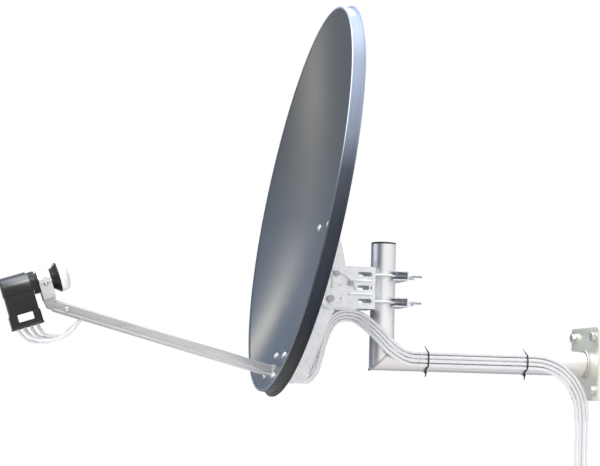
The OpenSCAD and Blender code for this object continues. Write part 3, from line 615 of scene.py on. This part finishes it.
def bead(path_fn, base_r, ripple, count, run=(0, 1, 0), n=360, sides=12):
    """A rippled weld bead; run gives the place, width and height of a fatter drip."""
    loops = []
    for i in range(n):
        a = 2 * math.pi * i / n
        c, out, side = (np.array(q, float) for q in path_fn(a))
        drip = run[2] * math.exp(-(((a - run[0] + math.pi) % (2 * math.pi) - math.pi) / run[1]) ** 2)
        r = base_r * (1 + ripple * abs(math.sin(a * count / 2)) + 0.05 * math.sin(5 * a + 1) + drip)
        loops.append(around(c, r, out, side, sides))
    return rings(loops, cyclic=True)


def plate_seam(a):
    r = 26.2
    return (r * math.cos(a), -6.0, r * math.sin(a)), (math.cos(a), 0, math.sin(a)), (0, 1, 0)


def mitre_seam(a):
    r, h = 24.6, math.sqrt(0.5)
    centre = (r * math.cos(a), MAST_Y + r * math.sin(a), r * math.sin(a))
    return centre, (math.cos(a), h * math.sin(a), h * math.sin(a)), (0, h, -h)


g = Shape().add(bead(plate_seam, 2.9, 0.16, 58, run=(math.radians(308), 0.45, 1.1)))
make("plate_weld_look", g, "weld", "wall", ["plate_weld"])
make("mitre_weld_look", Shape().add(bead(mitre_seam, 1.75, 0.18, 66)), "weld", "wall", ["mitre_weld"])
cap_plug = [(18, -14), (22.4, -14), (22.4, 0.1)]
cap_rim = [(25.0, 0.1), (25.2, 0.6), (25.2, 1.6), (24.6, 2.9), (23.0, 3.7), (14, 4.1), (0.3, 4.2)]
cap_inside = [(0.3, 1.5), (20.0, 1.2), (20.4, -13)]
g = Shape().add(lathe(cap_plug + cap_rim + cap_inside, 72), at(0, MAST_Y, MAST_TOP))
make("mast_cap_look", g, "black_plastic", "wall", ["mast_cap"])

bolts, washers = Shape(), Shape()
for i, (x, z) in enumerate(corners):
    m = at(x, -PLATE_T, z) @ TO_NY
    spin = turn(17 * i + 8, "Z")
    bolts.add(hexagon(17, 6.4), m @ at(0, 0, 2) @ spin)
    bolts.add(shank(5, -8, 2.2), m)
    bolts.add(threaded(5, -60, -7, 3.5, 0.9), m)
    bolts.add(lathe([(0.4, -66), (1.2, -65), (4.2, -60), (4.2, -59)], 24), m)
    washers.add(washer(11, 5.2, 2), m)
make("wall_bolts_look", bolts, "fastener_zinc", "wall", ["wall_bolts"])
make("wall_washers_look", washers, "fastener_zinc", "wall", ["wall_washers"])

# ---------------------------------------------------------------- cables
SIDE_Z = (-12.0, -4.0, 4.0, 12.0)
LANE_X, LANE_Z, LANE_OF = (3.6, -3.6, 3.6, -3.6), (-1.8, -1.8, 5.4, 5.4), (1, 0, 3, 2)
LOOP_X, HANG_X = (-0.6, 7.8, 16.2, 24.6), (3.7, -3.7, 13.5, -13.5)
side_x = [math.sqrt((TUBE_R + CABLE_R) ** 2 - z * z) for z in SIDE_Z]


def arm_pt(x, y, z):
    return np.array((ARM @ Vector((x, y, z)))[:])


def lnb_pt(x, s, t):
    return np.array((LNB @ Vector((x, s, t)))[:])


FAN = [(k - 1.5) * 6.4 for k in range(4)]
APEX = [np.array((LOOP_X[k] * 0.6 + 4, MAST_Y - 77, 83.5 + FAN[k])) for k in range(4)]


def cable_piece(name, paths, nodes, body=None):
    s = Shape()
    for p in paths:
        s.add(sweep(p, CABLE_R, 20, round_ends(p)))
    return make(name, s, "cable_jacket", body, nodes, sharp=60)


# along the tube, then down the wall in a quarter turn
runs = []
for k in range(4):
    x, z = side_x[k], SIDE_Z[k]
    reach = 100 + z
    yd = -PLATE_T - CABLE_R - 16 + 0.98 * z
    tx = 33.0 + (0.8 if k % 2 else -0.4)
    pts = [(x, MAST_Y + along, z) for along in (70, 130, 220)]
    pts += [(x, yd - reach - 12, z), (x + 0.6, yd - reach + 8, z - 0.6)]
    for i in range(1, 6):
        a = i * 15
        f = i / 6
        pts.append((x + (tx - x) * f, yd - reach * (1 - sind(a)) + 1, z - reach * (1 - cosd(a))))
    pts += [(tx, yd + 1, z - reach - 4), (tx, yd + 1.5, -150)]
    pts += [(tx - 0.6, yd + 0.5, -190), (tx, yd + 2, -234.5)]
    runs.append(catmull(pts, 10))
cable_piece("wall_cables_look", runs, ["wall_cables"], "wall")

# from the top of the arch, past the mast, on to the side of the tube
loops = []
for k in range(4):
    x, z = side_x[k], SIDE_Z[k]
    f, bx = FAN[k], APEX[k][0]
    pts = [APEX[k] - (0, 8, 0.6 + f * 0.02), APEX[k]]
    pts.append((bx * 0.9 + 4, MAST_Y - 58 + f * 0.45, 81 + f * 0.85))
    pts.append((bx * 0.6 + 14, MAST_Y - 41 + f * 0.75, 70.5 + f * 0.75))
    pts.append((34.5, MAST_Y - 12 + z * 0.5, 43 + z * 0.75))
    pts.append((35, MAST_Y + 10 + z * 0.35, 22 + z * 0.95))
    pts.append((x + 4, MAST_Y + 36, 6 + z))
    pts += [(x + 0.2, MAST_Y + 58, z + 0.3), (x, MAST_Y + 69.9, z)]
    loops.append(catmull(pts, 10)[10:])
ob = cable_piece("mast_loop_cables_look", loops, ["mast_loop_cables"])
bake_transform(ob)

# out of the back of the arm and up behind the dish to the top of the arch
loops = []
for k in range(4):
    j = LANE_OF[k]
    lx, lz = LANE_X[j], LANE_Z[j]
    f, bx = FAN[k], APEX[k][0]
    pts = [arm_pt(lx, LANE_BACK, lz), arm_pt(lx, LANE_BACK + 8, lz)]
    pts.append((lx * 1.2, MAST_Y - 159 - f * 0.75, -49 + f * 0.45))
    pts.append((lx * 1.4, MAST_Y - 143 - f, -34 + f * 0.25))
    pts.append((lx * 0.9 + bx * 0.2, MAST_Y - 134 - f, -10))
    pts.append((lx * 0.5 + bx * 0.5, MAST_Y - 127.5 - f, 20))
    pts.append((bx, MAST_Y - 119 - f * 0.98, 48 + f * 0.1))
    pts.append((bx, MAST_Y - 107 - f * 0.85, 69 + f * 0.5))
    pts.append((bx, MAST_Y - 92 - f * 0.4, 80.5 + f * 0.92))
    loops.append(catmull(pts + [APEX[k] - (0, 0.05, 0)], 10))
ob = cable_piece("rear_loop_cables_look", loops, ["rear_loop_cables"])
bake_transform(ob)

lanes = []
for x, z in zip(LANE_X, LANE_Z):
    lanes.append(np.linspace(arm_pt(x, LANE_FRONT + 0.05, z), arm_pt(x, LANE_BACK - 0.3, z), 40))
cable_piece("arm_cables_look", lanes, ["arm_cables"], "dish")

# down from the plugs and round into the open underside of the arm
loops = []
for k in range(4):
    up = LANE_Z[k] > 0
    s = PORT_S[k]
    low = np.array([HANG_X[k], MAST_Y - 655 - 9 * k, 22.0 - 4.2 * k])
    pts = [lnb_pt(0, s, FLOOR_T - below) for below in (12, 19, 24)]
    pts += [pts[2] * 0.42 + low * 0.58 + (0, -6, -5), low, low + (0, 17 + 2 * k, 1.5 + k)]
    pts.append((HANG_X[k] * 0.75, MAST_Y - 627, 36 - 3.4 * k + (3 if up else 0)))
    pts.append((LANE_X[k] * 1.3, MAST_Y - 612, 49 - 1.5 * k + (4 if up else 0)))
    for back, sag in ((26, 3), (12, 0.4), (0, 0)):
        pts.append(arm_pt(LANE_X[k], LANE_FRONT - back, LANE_Z[k] - sag))
    loops.append(catmull(pts, 10))
ob = cable_piece("lnb_loop_cables_look", loops, ["lnb_loop_cables"])
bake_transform(ob)

# cable ties: a strap hugging the tube and the cables, with its head and cut tail
g = Shape()
circles = [((0.0, 0.0), TUBE_R)] + [((side_x[k], SIDE_Z[k]), CABLE_R) for k in range(4)]
for y in (MAST_Y + 90, MAST_Y + 300):
    outer = []
    for i in range(180):
        a = 2 * math.pi * i / 180
        n = (math.cos(a), math.sin(a))
        c, r = max(circles, key=lambda q: q[0][0] * n[0] + q[0][1] * n[1] + q[1])
        outer.append((c[0] + r * n[0], c[1] + r * n[1], n))
    loops = []
    for u, w in ((0.05, -1.5), (0.95, -1.5), (1.1, -1.0), (1.1, 1.0), (0.95, 1.5), (0.05, 1.5)):
        loops.append([(x + u * n[0], y + w, z + u * n[1]) for x, z, n in outer])
    g.add(rings(loops, cyclic=True))
    head = at(12, y, -TUBE_R - 1.6) @ turn(-24, "Y")
    g.add(pillow(rounded_rect(2.8, 2.3, 0.8), -2.0, 2.0, 0.5, 0.5), head)
    tail = [(1.2, 0, -1.6), (0.9, -0.4, -4.5), (0.0, -1.0, -7), (-1.6, -2.0, -9)]
    rows = []
    for x, w, z in catmull(tail, 5):
        section = ((-0.45, -1.3), (0.45, -1.3), (0.45, 1.3), (-0.45, 1.3))
        rows.append([(x + dx, w + dw, z) for dx, dw in section])
    g.add(rings(rows), head)
make("cable_ties_look", g, "tie_plastic", "wall", ["cable_ties"])

# ---------------------------------------------------------------- azimuth mount
polish("mount_bracket", "galvanised", 0.4)
polish("jaw_upper", "jaw_steel", 0.25)
polish("jaw_lower", "jaw_steel", 0.25)
g = Shape()
for x in (-ROD_X, ROD_X):
    for z in ROD_Z:
        m = at(x, BRK_BACK - 2.5, z) @ TO_NY
        g.add(hexagon(ROD_HEX, 4), m @ turn(90, "Z"))
        m = at(x, 0, z) @ TO_PY
        g.add(shank(3, BRK_BACK - 3, MAST_Y + 18), m)
        g.add(threaded(3, MAST_Y + 17, MAST_Y + 73, 1.0, 0.45), m)
make("clamp_rods_look", g, "fastener_zinc", "mount", ["clamp_rods"])


def flange_nut(m, shape, spin=0):
    shape.add(lathe([(3.2, 0), (6.3, 0), (6.5, 0.4), (6.4, 1.0), (5.2, 1.6), (3.2, 1.6)], 36, True), m)
    shape.add(hexagon(ROD_HEX, 6.4, bore=3.0), m @ turn(spin, "Z"))


for node, z, body in (("jaw_nuts_upper", ROD_Z[0], "jaw_upper"), ("jaw_nuts_lower", ROD_Z[1], "jaw_lower")):
    g = Shape()
    for i, x in enumerate((-ROD_X, ROD_X)):
        flange_nut(at(x, MAST_Y + 43.05, z) @ TO_PY, g, 20 * i + (9 if z > 150 else 33))
    make(node + "_look", g, "fastener_zinc", body, [node])

PIV = at(0, PIVOT_Y, PIVOT_Z)
g = Shape().add(hexagon(PIVOT_HEX, 5.3), PIV @ at(PLATE_OUT + WASHER_T, 0, 0) @ TO_PX @ turn(14, "Z"))
g.add(shank(4, -36, PLATE_OUT + 2), PIV @ TO_PX)
g.add(threaded(4, -48.7, -35, 1.25, 0.55), PIV @ TO_PX)
make("pivot_bolt_look", g, "fastener_dark", "mount", ["pivot_bolt"])
g = Shape().add(washer(8, 4.2, WASHER_T), PIV @ at(PLATE_OUT, 0, 0) @ TO_PX)
g.add(washer(8, 4.2, WASHER_T), PIV @ at(-PLATE_OUT, 0, 0) @ TO_NX)
make("pivot_washers_look", g, "fastener_zinc", "mount", ["pivot_washers"])
g = Shape().add(hexagon(PIVOT_HEX, 6.5, True, 4.0), PIV @ at(-PLATE_OUT - WASHER_T, 0, 0) @ TO_NX)
make("pivot_nut_look", g, "fastener_dark", "mount", ["pivot_nut"])

# ---------------------------------------------------------------- dish, backbone and arm
polish("backbone", "galvanised", 0.4)


def drop(x, w):
    """How far the bowl lies behind the rim plane at x across and w up the face."""
    c, s = cosd(OFFSET), sind(OFFSET)
    a, b = RIM_OFF + w * c, RIM_DEPTH + w * s
    qa, qb, qc = s * s, 2 * s * a + 4 * FOCAL * c, x * x + a * a - 4 * FOCAL * b
    return (-qb + math.sqrt(qb * qb - 4 * qa * qc)) / (2 * qa)


def reflector():
    """The whole sheet from the centre of the face, round the skirt and lip, to the centre of the back."""
    n = 256
    th = [2 * math.pi * i / n for i in range(n)]

    def ring(e, depth=None, t=1.0, back=0.0):
        """A loop e outside the rim's ellipse scaled by t, on the bowl or at a depth behind the rim."""
        out = []
        for a in th:
            nx, nw = math.cos(a) / RIM_B, math.sin(a) / RIM_A
            k = 1 / math.hypot(nx, nw)
            x = RIM_B * math.cos(a) * t + nx * k * e
            w = RIM_A * math.sin(a) * t + nw * k * e
            d = drop(x, w) if depth is None else depth
            out.append((x, w, -(d + back)))
        return out

    rows = [ring(0, t=0.0001)]
    rows += [ring(0, t=i / 30) for i in range(1, 29)]
    for e in (-24, -16, -10, -7, -5):
        rows.append(ring(e))
    rolled_edge = [(-4.0, 1.1), (-3.2, 0.35), (-2.4, -0.2), (-1.5, -0.5), (-0.6, -0.4), (0.1, 0.05)]
    rolled_edge.append((0.5, 0.75))
    skirt = [(0.6, 1.6), (0.5, 3), (0.5, 8), (0.5, 14), (0.5, 20), (0.6, 21.6), (1.0, 22.6), (1.9, 23.2)]
    lip = [(3.4, 23.4), (4.9, 23.4), (5.9, 23.0), (6.7, 22.9), (7.2, 23.5), (7.2, 24.4), (6.7, 25.1)]
    lip.append((5.8, 25.3))
    inside = [(3.5, 25.2), (1.4, 25.1), (-0.2, 24.6), (-0.9, 23.4), (-1.1, 21), (-1.1, 12), (-1.1, 6)]
    rows += [ring(e, d) for e, d in rolled_edge + skirt + lip + inside]
    for e in (-3, -4.5, -7, -10, -16, -24):
        rows.append(ring(e, back=SHEET_T))
    rows += [ring(0, t=i / 30, back=SHEET_T) for i in range(28, 0, -1)]
    rows.append(ring(0, t=0.0001, back=SHEET_T))
    return rings(rows)


g = Shape().add(reflector(), RIM_M)
dish = make("reflector_look", g, "reflector_paint", None, sharp=50)
# the arm goes through a window near the bottom of the sheet
cutter = Shape().add(pillow(rounded_rect(17, 42, 0.5, 2), -13, 15.5, 0.2, 0.2, 1), ARM @ at(0, 192, 0))
hole = make("hole", cutter, "reflector_paint", None)
bo = dish.modifiers.new("hole", "BOOLEAN")
bo.operation, bo.object, bo.solver = "DIFFERENCE", hole, "EXACT"
dg = bpy.context.evaluated_depsgraph_get()
cut = bpy.data.meshes.new_from_object(dish.evaluated_get(dg))
dish.modifiers.clear()
dish.data = cut
bpy.data.objects.remove(hole)
# the rolled bead round the face takes the painted highlight material; the skirt and lip take the skirt paint
# with its painted reflection
SKIRT_MAT, EDGE_MAT = 1, 2
dish.data.materials.append(MATS["reflector_skirt"])
dish.data.materials.append(MATS["reflector_edge"])
to_rim = RIM_M.inverted()
for p in dish.data.polygons:
    p.use_smooth = True
    c = to_rim @ (p.center / MM)
    out = math.hypot(c.x / RIM_B, c.y / RIM_A) - 1
    if out > -0.0085 and c.z < -1.9 or out > 0.002:
        p.material_index = SKIRT_MAT
    if -0.009 < out < 0.0022 and c.z > -1.9:
        p.material_index = EDGE_MAT
dish.data.set_sharp_from_angle(angle=math.radians(50))
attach(dish, "dish")
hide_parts("reflector")

heads, nuts = Shape(), Shape()
for i, (x, r) in enumerate([(x, r) for x in (-BOLT_X, BOLT_X) for r in BOLT_R]):
    m = on_bowl(x, r)
    heads.add(cup_head(8, 4.1), m @ at(0, 0, 0.15))
    heads.add(threaded(3, -14, 0.3, 1.0, 0.4), m)
    flange = m @ at(0, 0, -4.75) @ turn(180, "X")
    flange_nut(flange, nuts, 13 * i)
make("reflector_bolts_look", heads, "fastener_zinc", "dish", ["reflector_bolts"])
make("reflector_nuts_look", nuts, "fastener_zinc", "dish", ["reflector_nuts"])

lb, lw, ln = Shape(), Shape(), Shape()
seat = PLATE_OUT + WASHER_T + 0.05
for i, a in enumerate(LOCK_A):
    m = at(0, PIVOT_Y + SLOT_R * cosd(a), PIVOT_Z + SLOT_R * sind(a))
    lb.add(hexagon(ROD_HEX, 4), m @ at(seat, 0, 0) @ TO_PX @ turn(25 * i, "Z"))
    lb.add(shank(3, -36, PLATE_OUT + 2), m @ TO_PX)
    lb.add(threaded(3, -46.7, -35, 1.0, 0.45), m @ TO_PX)
    lw.add(washer(6, 3.2, WASHER_T), m @ at(PLATE_OUT + 0.05, 0, 0) @ TO_PX)
    lw.add(washer(6, 3.2, WASHER_T), m @ at(-PLATE_OUT - 0.05, 0, 0) @ TO_NX)
    ln.add(hexagon(ROD_HEX, 5, True, 3.0), m @ at(-seat, 0, 0) @ TO_NX @ turn(11 * i, "Z"))
make("lock_bolts_look", lb, "fastener_dark", "dish", ["lock_bolts"])
make("lock_washers_look", lw, "fastener_zinc", "dish", ["lock_washers"])
make("lock_nuts_look", ln, "fastener_dark", "dish", ["lock_nuts"])

# half of the arm's section: top, outside with its pressed groove, bottom edge, inside
half = [(0, ARM_H / 2)]
half += [(10.2 + 2.8 * sind(a), 8.2 + 2.8 * cosd(a)) for a in range(0, 91, 15)]
half += [(13, 0), (13, -4.5), (12.7, -4.9), (12.35, -5.2), (12.35, -5.7), (12.7, -6.0), (13, -6.4)]
half += [(13, -9.9), (12.6, -10.7), (12, -11), (11.4, -10.7), (11, -9.9), (11, 7.6)]
half += [(9.6 + 1.4 * sind(a), 7.6 + 1.4 * cosd(a)) for a in (60, 30, 0)]
loop = half + [(-x, z) for x, z in reversed(half[1:])]
ends = [(-248, 0.5), (-247.5, 0), (239.5, 0), (240, 0.5)]
rows = [[(x * (1 - 0.02 * c), y, z * (1 - 0.02 * c)) for x, z in loop] for y, c in ends]
g = Shape().add(rings(rows), ARM)
make("feed_arm_look", g, "arm_zinc", "dish", ["feed_arm"], sharp=50)
polish("arm_socket", "arm_zinc", 0.4)


def side_screws(node, y, low, high, head, head_at):
    """A screw on each side of the arm, y along it, its shank from low to high off the middle."""
    g = Shape()
    for facing in (TO_NX, TO_PX):
        m = ARM @ at(0, y, 0) @ facing
        g.add(shank(2.5, low, high), m)
        g.add(head, m @ at(0, 0, head_at))
    make(node + "_look", g, "fastener_zinc", "dish", [node])


side_screws("socket_screws", 235, 24.4, 35, cup_head(4.6, 3.1), 34.05)
side_screws("arm_screws", 212, 9.5, 16.4, pan_head(4.6, 2.8), 15.6)
side_screws("holder_screws", -223, 8, 14, pan_head(4.6, 2.8), 13)

polish("lnb_holder", "arm_zinc", 0.4)
polish("clamp_cap", "arm_zinc", 0.4)
scr, nut = Shape(), Shape()
for x in (-27, 27):
    m = LNB @ at(x, -29, 0)
    scr.add(shank(2.5, -10, 5), m)
    scr.add(pan_head(4.2, 3.4), m @ at(0, 0, 4))
    nut.add(hexagon(8, 4, True, 2.5), m @ at(0, 0, -8))
make("clamp_screws_look", scr, "fastener_zinc", "dish", ["clamp_screws"])
make("clamp_nuts_look", nut, "fastener_zinc", "dish", ["clamp_nuts"])

# ---------------------------------------------------------------- LNB
BACKWARD = LNB @ TO_NY  # takes an outline in (x, t) and pushes it out towards -s


def hood_outline(r, low, n=28):
    """A half circle on straight sides down to low."""
    pts = [(r * cosd(180 * i / n), r * sind(180 * i / n)) for i in range(n + 1)]
    pts += [(-r, low * 0.5), (-r, low), (-r * 0.5, low), (0, low)]
    return pts + [(r * 0.5, low), (r, low), (r, low * 0.5)]


g = Shape()
g.add(pillow(hood_outline(HOOD_R, SEAM_T + 0.05), HOOD_S + 12.55, 113, 0.25, 3.0, 5), BACKWARD)
g.add(pillow(rounded_rect(3.5, 3.4, 1.6, 4), HOOD_S + 16, 112.5, 1.2, 1.5, 3), BACKWARD @ at(0, 24.4, 0))
make("lnb_hood_look", g, "hood_plastic", "lnb", ["lnb_hood"])
g = Shape()
box = rounded_rect(BOX_X, BOX_HALF, 2.5, 4)
g.add(pillow(box, FLOOR_T, SEAM_T, 1.2, 0.3, 3), LNB @ at(0, BOX_S, 0))
g.add(pillow(hood_outline(HOOD_R, SEAM_T), HOOD_S, HOOD_S + 12.5, 2.2, 0.25, 4), BACKWARD)
neck = [(17.5, -53), (20, -52), (20, -13.5), (20.6, -12), (28.2, -3.4)]
flange = [(28.9, -2.6), (29, -1.8), (29, -0.6), (28.6, -0.05), (25.3, 0), (25.2, -1.9)]
bore = [(18.2, -2), (17.9, -4), (17.5, -50)]
g.add(lathe(neck + flange + bore, 72, True), LNB @ TO_PY)
# moulded ribs, above the travel of the connector cover
rib = pillow(rounded_rect(0.7, BOX_HALF - 4, 0.6, 3), -0.4, 0.5, 0.1, 0.3, 2)
g.add(rib, LNB @ at(BOX_X, BOX_S, -22) @ TO_PX)
g.add(rib, LNB @ at(-BOX_X, BOX_S, -22) @ TO_NX)
make("lnb_body_look", g, "lnb_plastic", "lnb", ["lnb_body"])
dome = [(26.2, 0.05), (28.3, 0.05), (28.5, 0.5), (28.4, 5)]
dome += [(28.4 * cosd(a) ** 0.7, 5 + 15 * sind(a) ** 0.7) for a in range(3, 89, 5)] + [(0.3, 20), (0.3, 18.4)]
dome += [(26.2 * cosd(a) ** 0.7, 5 + 13.4 * sind(a) ** 0.7) for a in range(86, 0, -5)] + [(26.2, 5)]
g = Shape().add(lathe(dome, 72), LNB @ TO_PY)
make("feed_cap_look", g, "cap_plastic", "lnb", ["feed_cap"])
polish("cap_ring", "seal_rubber", 0)
polish("feed_horn", "horn_metal", 0.2)
polish("lnb_board", "board", 0.15)
polish("f_ports", "port_metal", 0.15)
sleeve = [(3.45, -9), (4.3, -9), (4.5, -8.6), (4.5, -4.2), (4.2, -4.0), (4.2, -3.4), (4.5, -3.2)]
sleeve += [(4.5, 0.2), (3.45, 0.2)]
g = Shape()
for s in PORT_S:
    m = LNB @ at(0, s, FLOOR_T - 10)
    g.add(hexagon(11, 8.5, True, 4.75), m @ turn(30, "Z"))
    g.add(lathe(sleeve, 32, True), m)
make("f_plugs_look", g, "plug_metal", "lnb", ["f_plugs"])

outer = rounded_rect(26.1, BOX_HALF + 2.1, 5, 6)
inner = rounded_rect(24.15, BOX_HALF + 0.15, 2.6, 6)
outside = [(-48.6, -0.7), (-48.8, -0.25), (-49.6, 0.0), (-60, 0.0), (-70, 0.05), (-73, 0.3)]
outside += [(-74.6, 1.0), (-75.6, 1.3), (-76.3, 1.2), (-76.5, 0.7)]
inside = [(-76.5, 0.3), (-75.8, 0.1), (-70, 0), (-49.5, 0), (-48.7, 0.2), (-48.6, 0.6)]
rows = [[(x, y, z) for x, y in grow(outer, e)] for z, e in outside]
rows += [[(x, y, z) for x, y in grow(inner, e)] for z, e in inside]
g = Shape().add(rings(rows, cyclic=True), LNB @ at(0, BOX_S, 0))
make("connector_cover_look", g, "lnb_plastic", "cover", ["connector_cover"])
sticker = pillow(rounded_rect(7.1, 15, 1.2, 4), 0.02, 0.22, 0.05, 0.08, 2)
g = Shape().add(sticker, LNB @ at(26.1, BOX_S, -57.35) @ TO_PX)
make("cover_label_look", g, "label_white", "cover", ["cover_label"])

# ---------------------------------------------------------------- stage, light and camera
floor_z = cad_box[0].z - 0.012
FLOOR_R, FLOOR_SIDES = 14, 64
fm = bpy.data.materials.new("floor")
fm.use_nodes = True
fb = fm.node_tree.nodes["Principled BSDF"]
fb.inputs["Base Color"].default_value = (0.9, 0.9, 0.9, 1)
fb.inputs["Roughness"].default_value = 0.95
fb.inputs["Specular IOR Level"].default_value = 0.0
fb.inputs["Emission Color"].default_value = (1, 1, 1, 1)
fb.inputs["Emission Strength"].default_value = 0.22
fme = bpy.data.meshes.new("floor")
turns = np.linspace(0, 2 * math.pi, FLOOR_SIDES, endpoint=False)
rim = [(FLOOR_R * math.cos(a), FLOOR_R * math.sin(a), floor_z) for a in turns]
fme.from_pydata(rim, [], [list(range(FLOOR_SIDES))])
fme.materials.append(fm)
floor = bpy.data.objects.new("floor", fme)
floor.visible_glossy = False
bpy.context.scene.collection.objects.link(floor)

world = bpy.data.worlds.new("world")
bpy.context.scene.world = world
world.use_nodes = True
wt = world.node_tree
bg = wt.nodes["Background"]
coord, split = wt.nodes.new("ShaderNodeTexCoord"), wt.nodes.new("ShaderNodeSeparateXYZ")
wt.links.new(coord.outputs["Generated"], split.inputs[0])


def sky_ramp(src, stops):
    """The sky's tone along one axis, from -1 to 1."""
    r = wt.nodes.new("ShaderNodeValToRGB")
    r.color_ramp.interpolation = "EASE"
    fill_ramp(r.color_ramp, stops)
    half = wt.nodes.new("ShaderNodeMath")
    half.operation = "MULTIPLY_ADD"
    half.inputs[1].default_value = half.inputs[2].default_value = 0.5
    wt.links.new(src, half.inputs[0])
    wt.links.new(half.outputs[0], r.inputs[0])
    return r.outputs[0]


side_tone = sky_ramp(split.outputs[0], [
    (0.0, (0.35, 0.395, 0.46)), (0.12, (0.39, 0.44, 0.50)), (0.4, (0.75, 0.76, 0.78)),
    (1.0, (1.0, 0.99, 0.98))])
up_tone = sky_ramp(split.outputs[2], [
    (0.0, (0.92, 0.89, 0.88)), (0.42, (0.88, 0.86, 0.85)), (0.52, (0.92, 0.92, 0.92)),
    (0.72, (1.15, 1.17, 1.2)), (0.88, (1.7, 1.78, 1.9)), (1.0, (3.5, 3.7, 4.0))])
env = wt.nodes.new("ShaderNodeMix")
env.data_type, env.blend_type = "RGBA", "MULTIPLY"
env.inputs[0].default_value = 1.0
wt.links.new(side_tone, env.inputs[6])
wt.links.new(up_tone, env.inputs[7])
# the camera sees plain white; only reflections and light come from the shaded sky
ray = wt.nodes.new("ShaderNodeLightPath")
seen = wt.nodes.new("ShaderNodeMix")
seen.data_type = "RGBA"
wt.links.new(ray.outputs["Is Camera Ray"], seen.inputs[0])
wt.links.new(env.outputs[2], seen.inputs[6])
seen.inputs[7].default_value = (1, 1, 1, 1)
wt.links.new(seen.outputs[2], bg.inputs[0])
bg.inputs[1].default_value = 1.0


def softbox(name, where, aim, size, power, colour=(1, 1, 1)):
    li = bpy.data.lights.new(name, "AREA")
    li.shape, li.size, li.size_y, li.energy, li.color = "RECTANGLE", size[0], size[1], power, colour
    ob = bpy.data.objects.new(name, li)
    ob.location = where
    ob.rotation_euler = (Vector(aim) - Vector(where)).to_track_quat("-Z", "Y").to_euler()
    bpy.context.scene.collection.objects.link(ob)


MIDDLE, WARM = (0, -0.6, 0.2), (1.0, 0.93, 0.78)
softbox("key", (2.2, -1.8, 2.6), MIDDLE, (1.8, 1.2), 26)
softbox("rim", (-2.4, 0.8, 2.0), MIDDLE, (1.6, 1.6), 24)
softbox("front", (0.9, -3.4, 1.3), MIDDLE, (1.0, 1.6), 13)
softbox("streak", (-2.85, -2.25, 1.05), (0, -0.62, 0.3), (0.4, 0.6), 3.6, WARM)

cam_data = bpy.data.cameras.new("camera")
cam = bpy.data.objects.new("camera", cam_data)
bpy.context.scene.collection.objects.link(cam)
bpy.context.scene.camera = cam
cam_data.sensor_width, cam_data.lens = 36.0, 102.0
cam_data.clip_start, cam_data.clip_end = 0.05, 60
CAMERA_AT = (3.3264, -1.3250, -0.0845)
YAW, PITCH, ROLL = (math.radians(a) for a in (12.06, 5.54, 1.485))
fwd = Vector((-math.cos(PITCH) * math.cos(YAW), math.cos(PITCH) * math.sin(YAW), math.sin(PITCH)))
right = fwd.cross(Vector((0, 0, 1))).normalized()
up = right.cross(fwd)
rolled_right = right * math.cos(ROLL) + up * math.sin(ROLL)
rolled_up = up * math.cos(ROLL) - right * math.sin(ROLL)
facing = Matrix((rolled_right, rolled_up, -fwd)).transposed().to_4x4()
cam.matrix_world = Matrix.Translation(CAMERA_AT) @ facing
bpy.context.scene.view_settings.view_transform = "Standard"
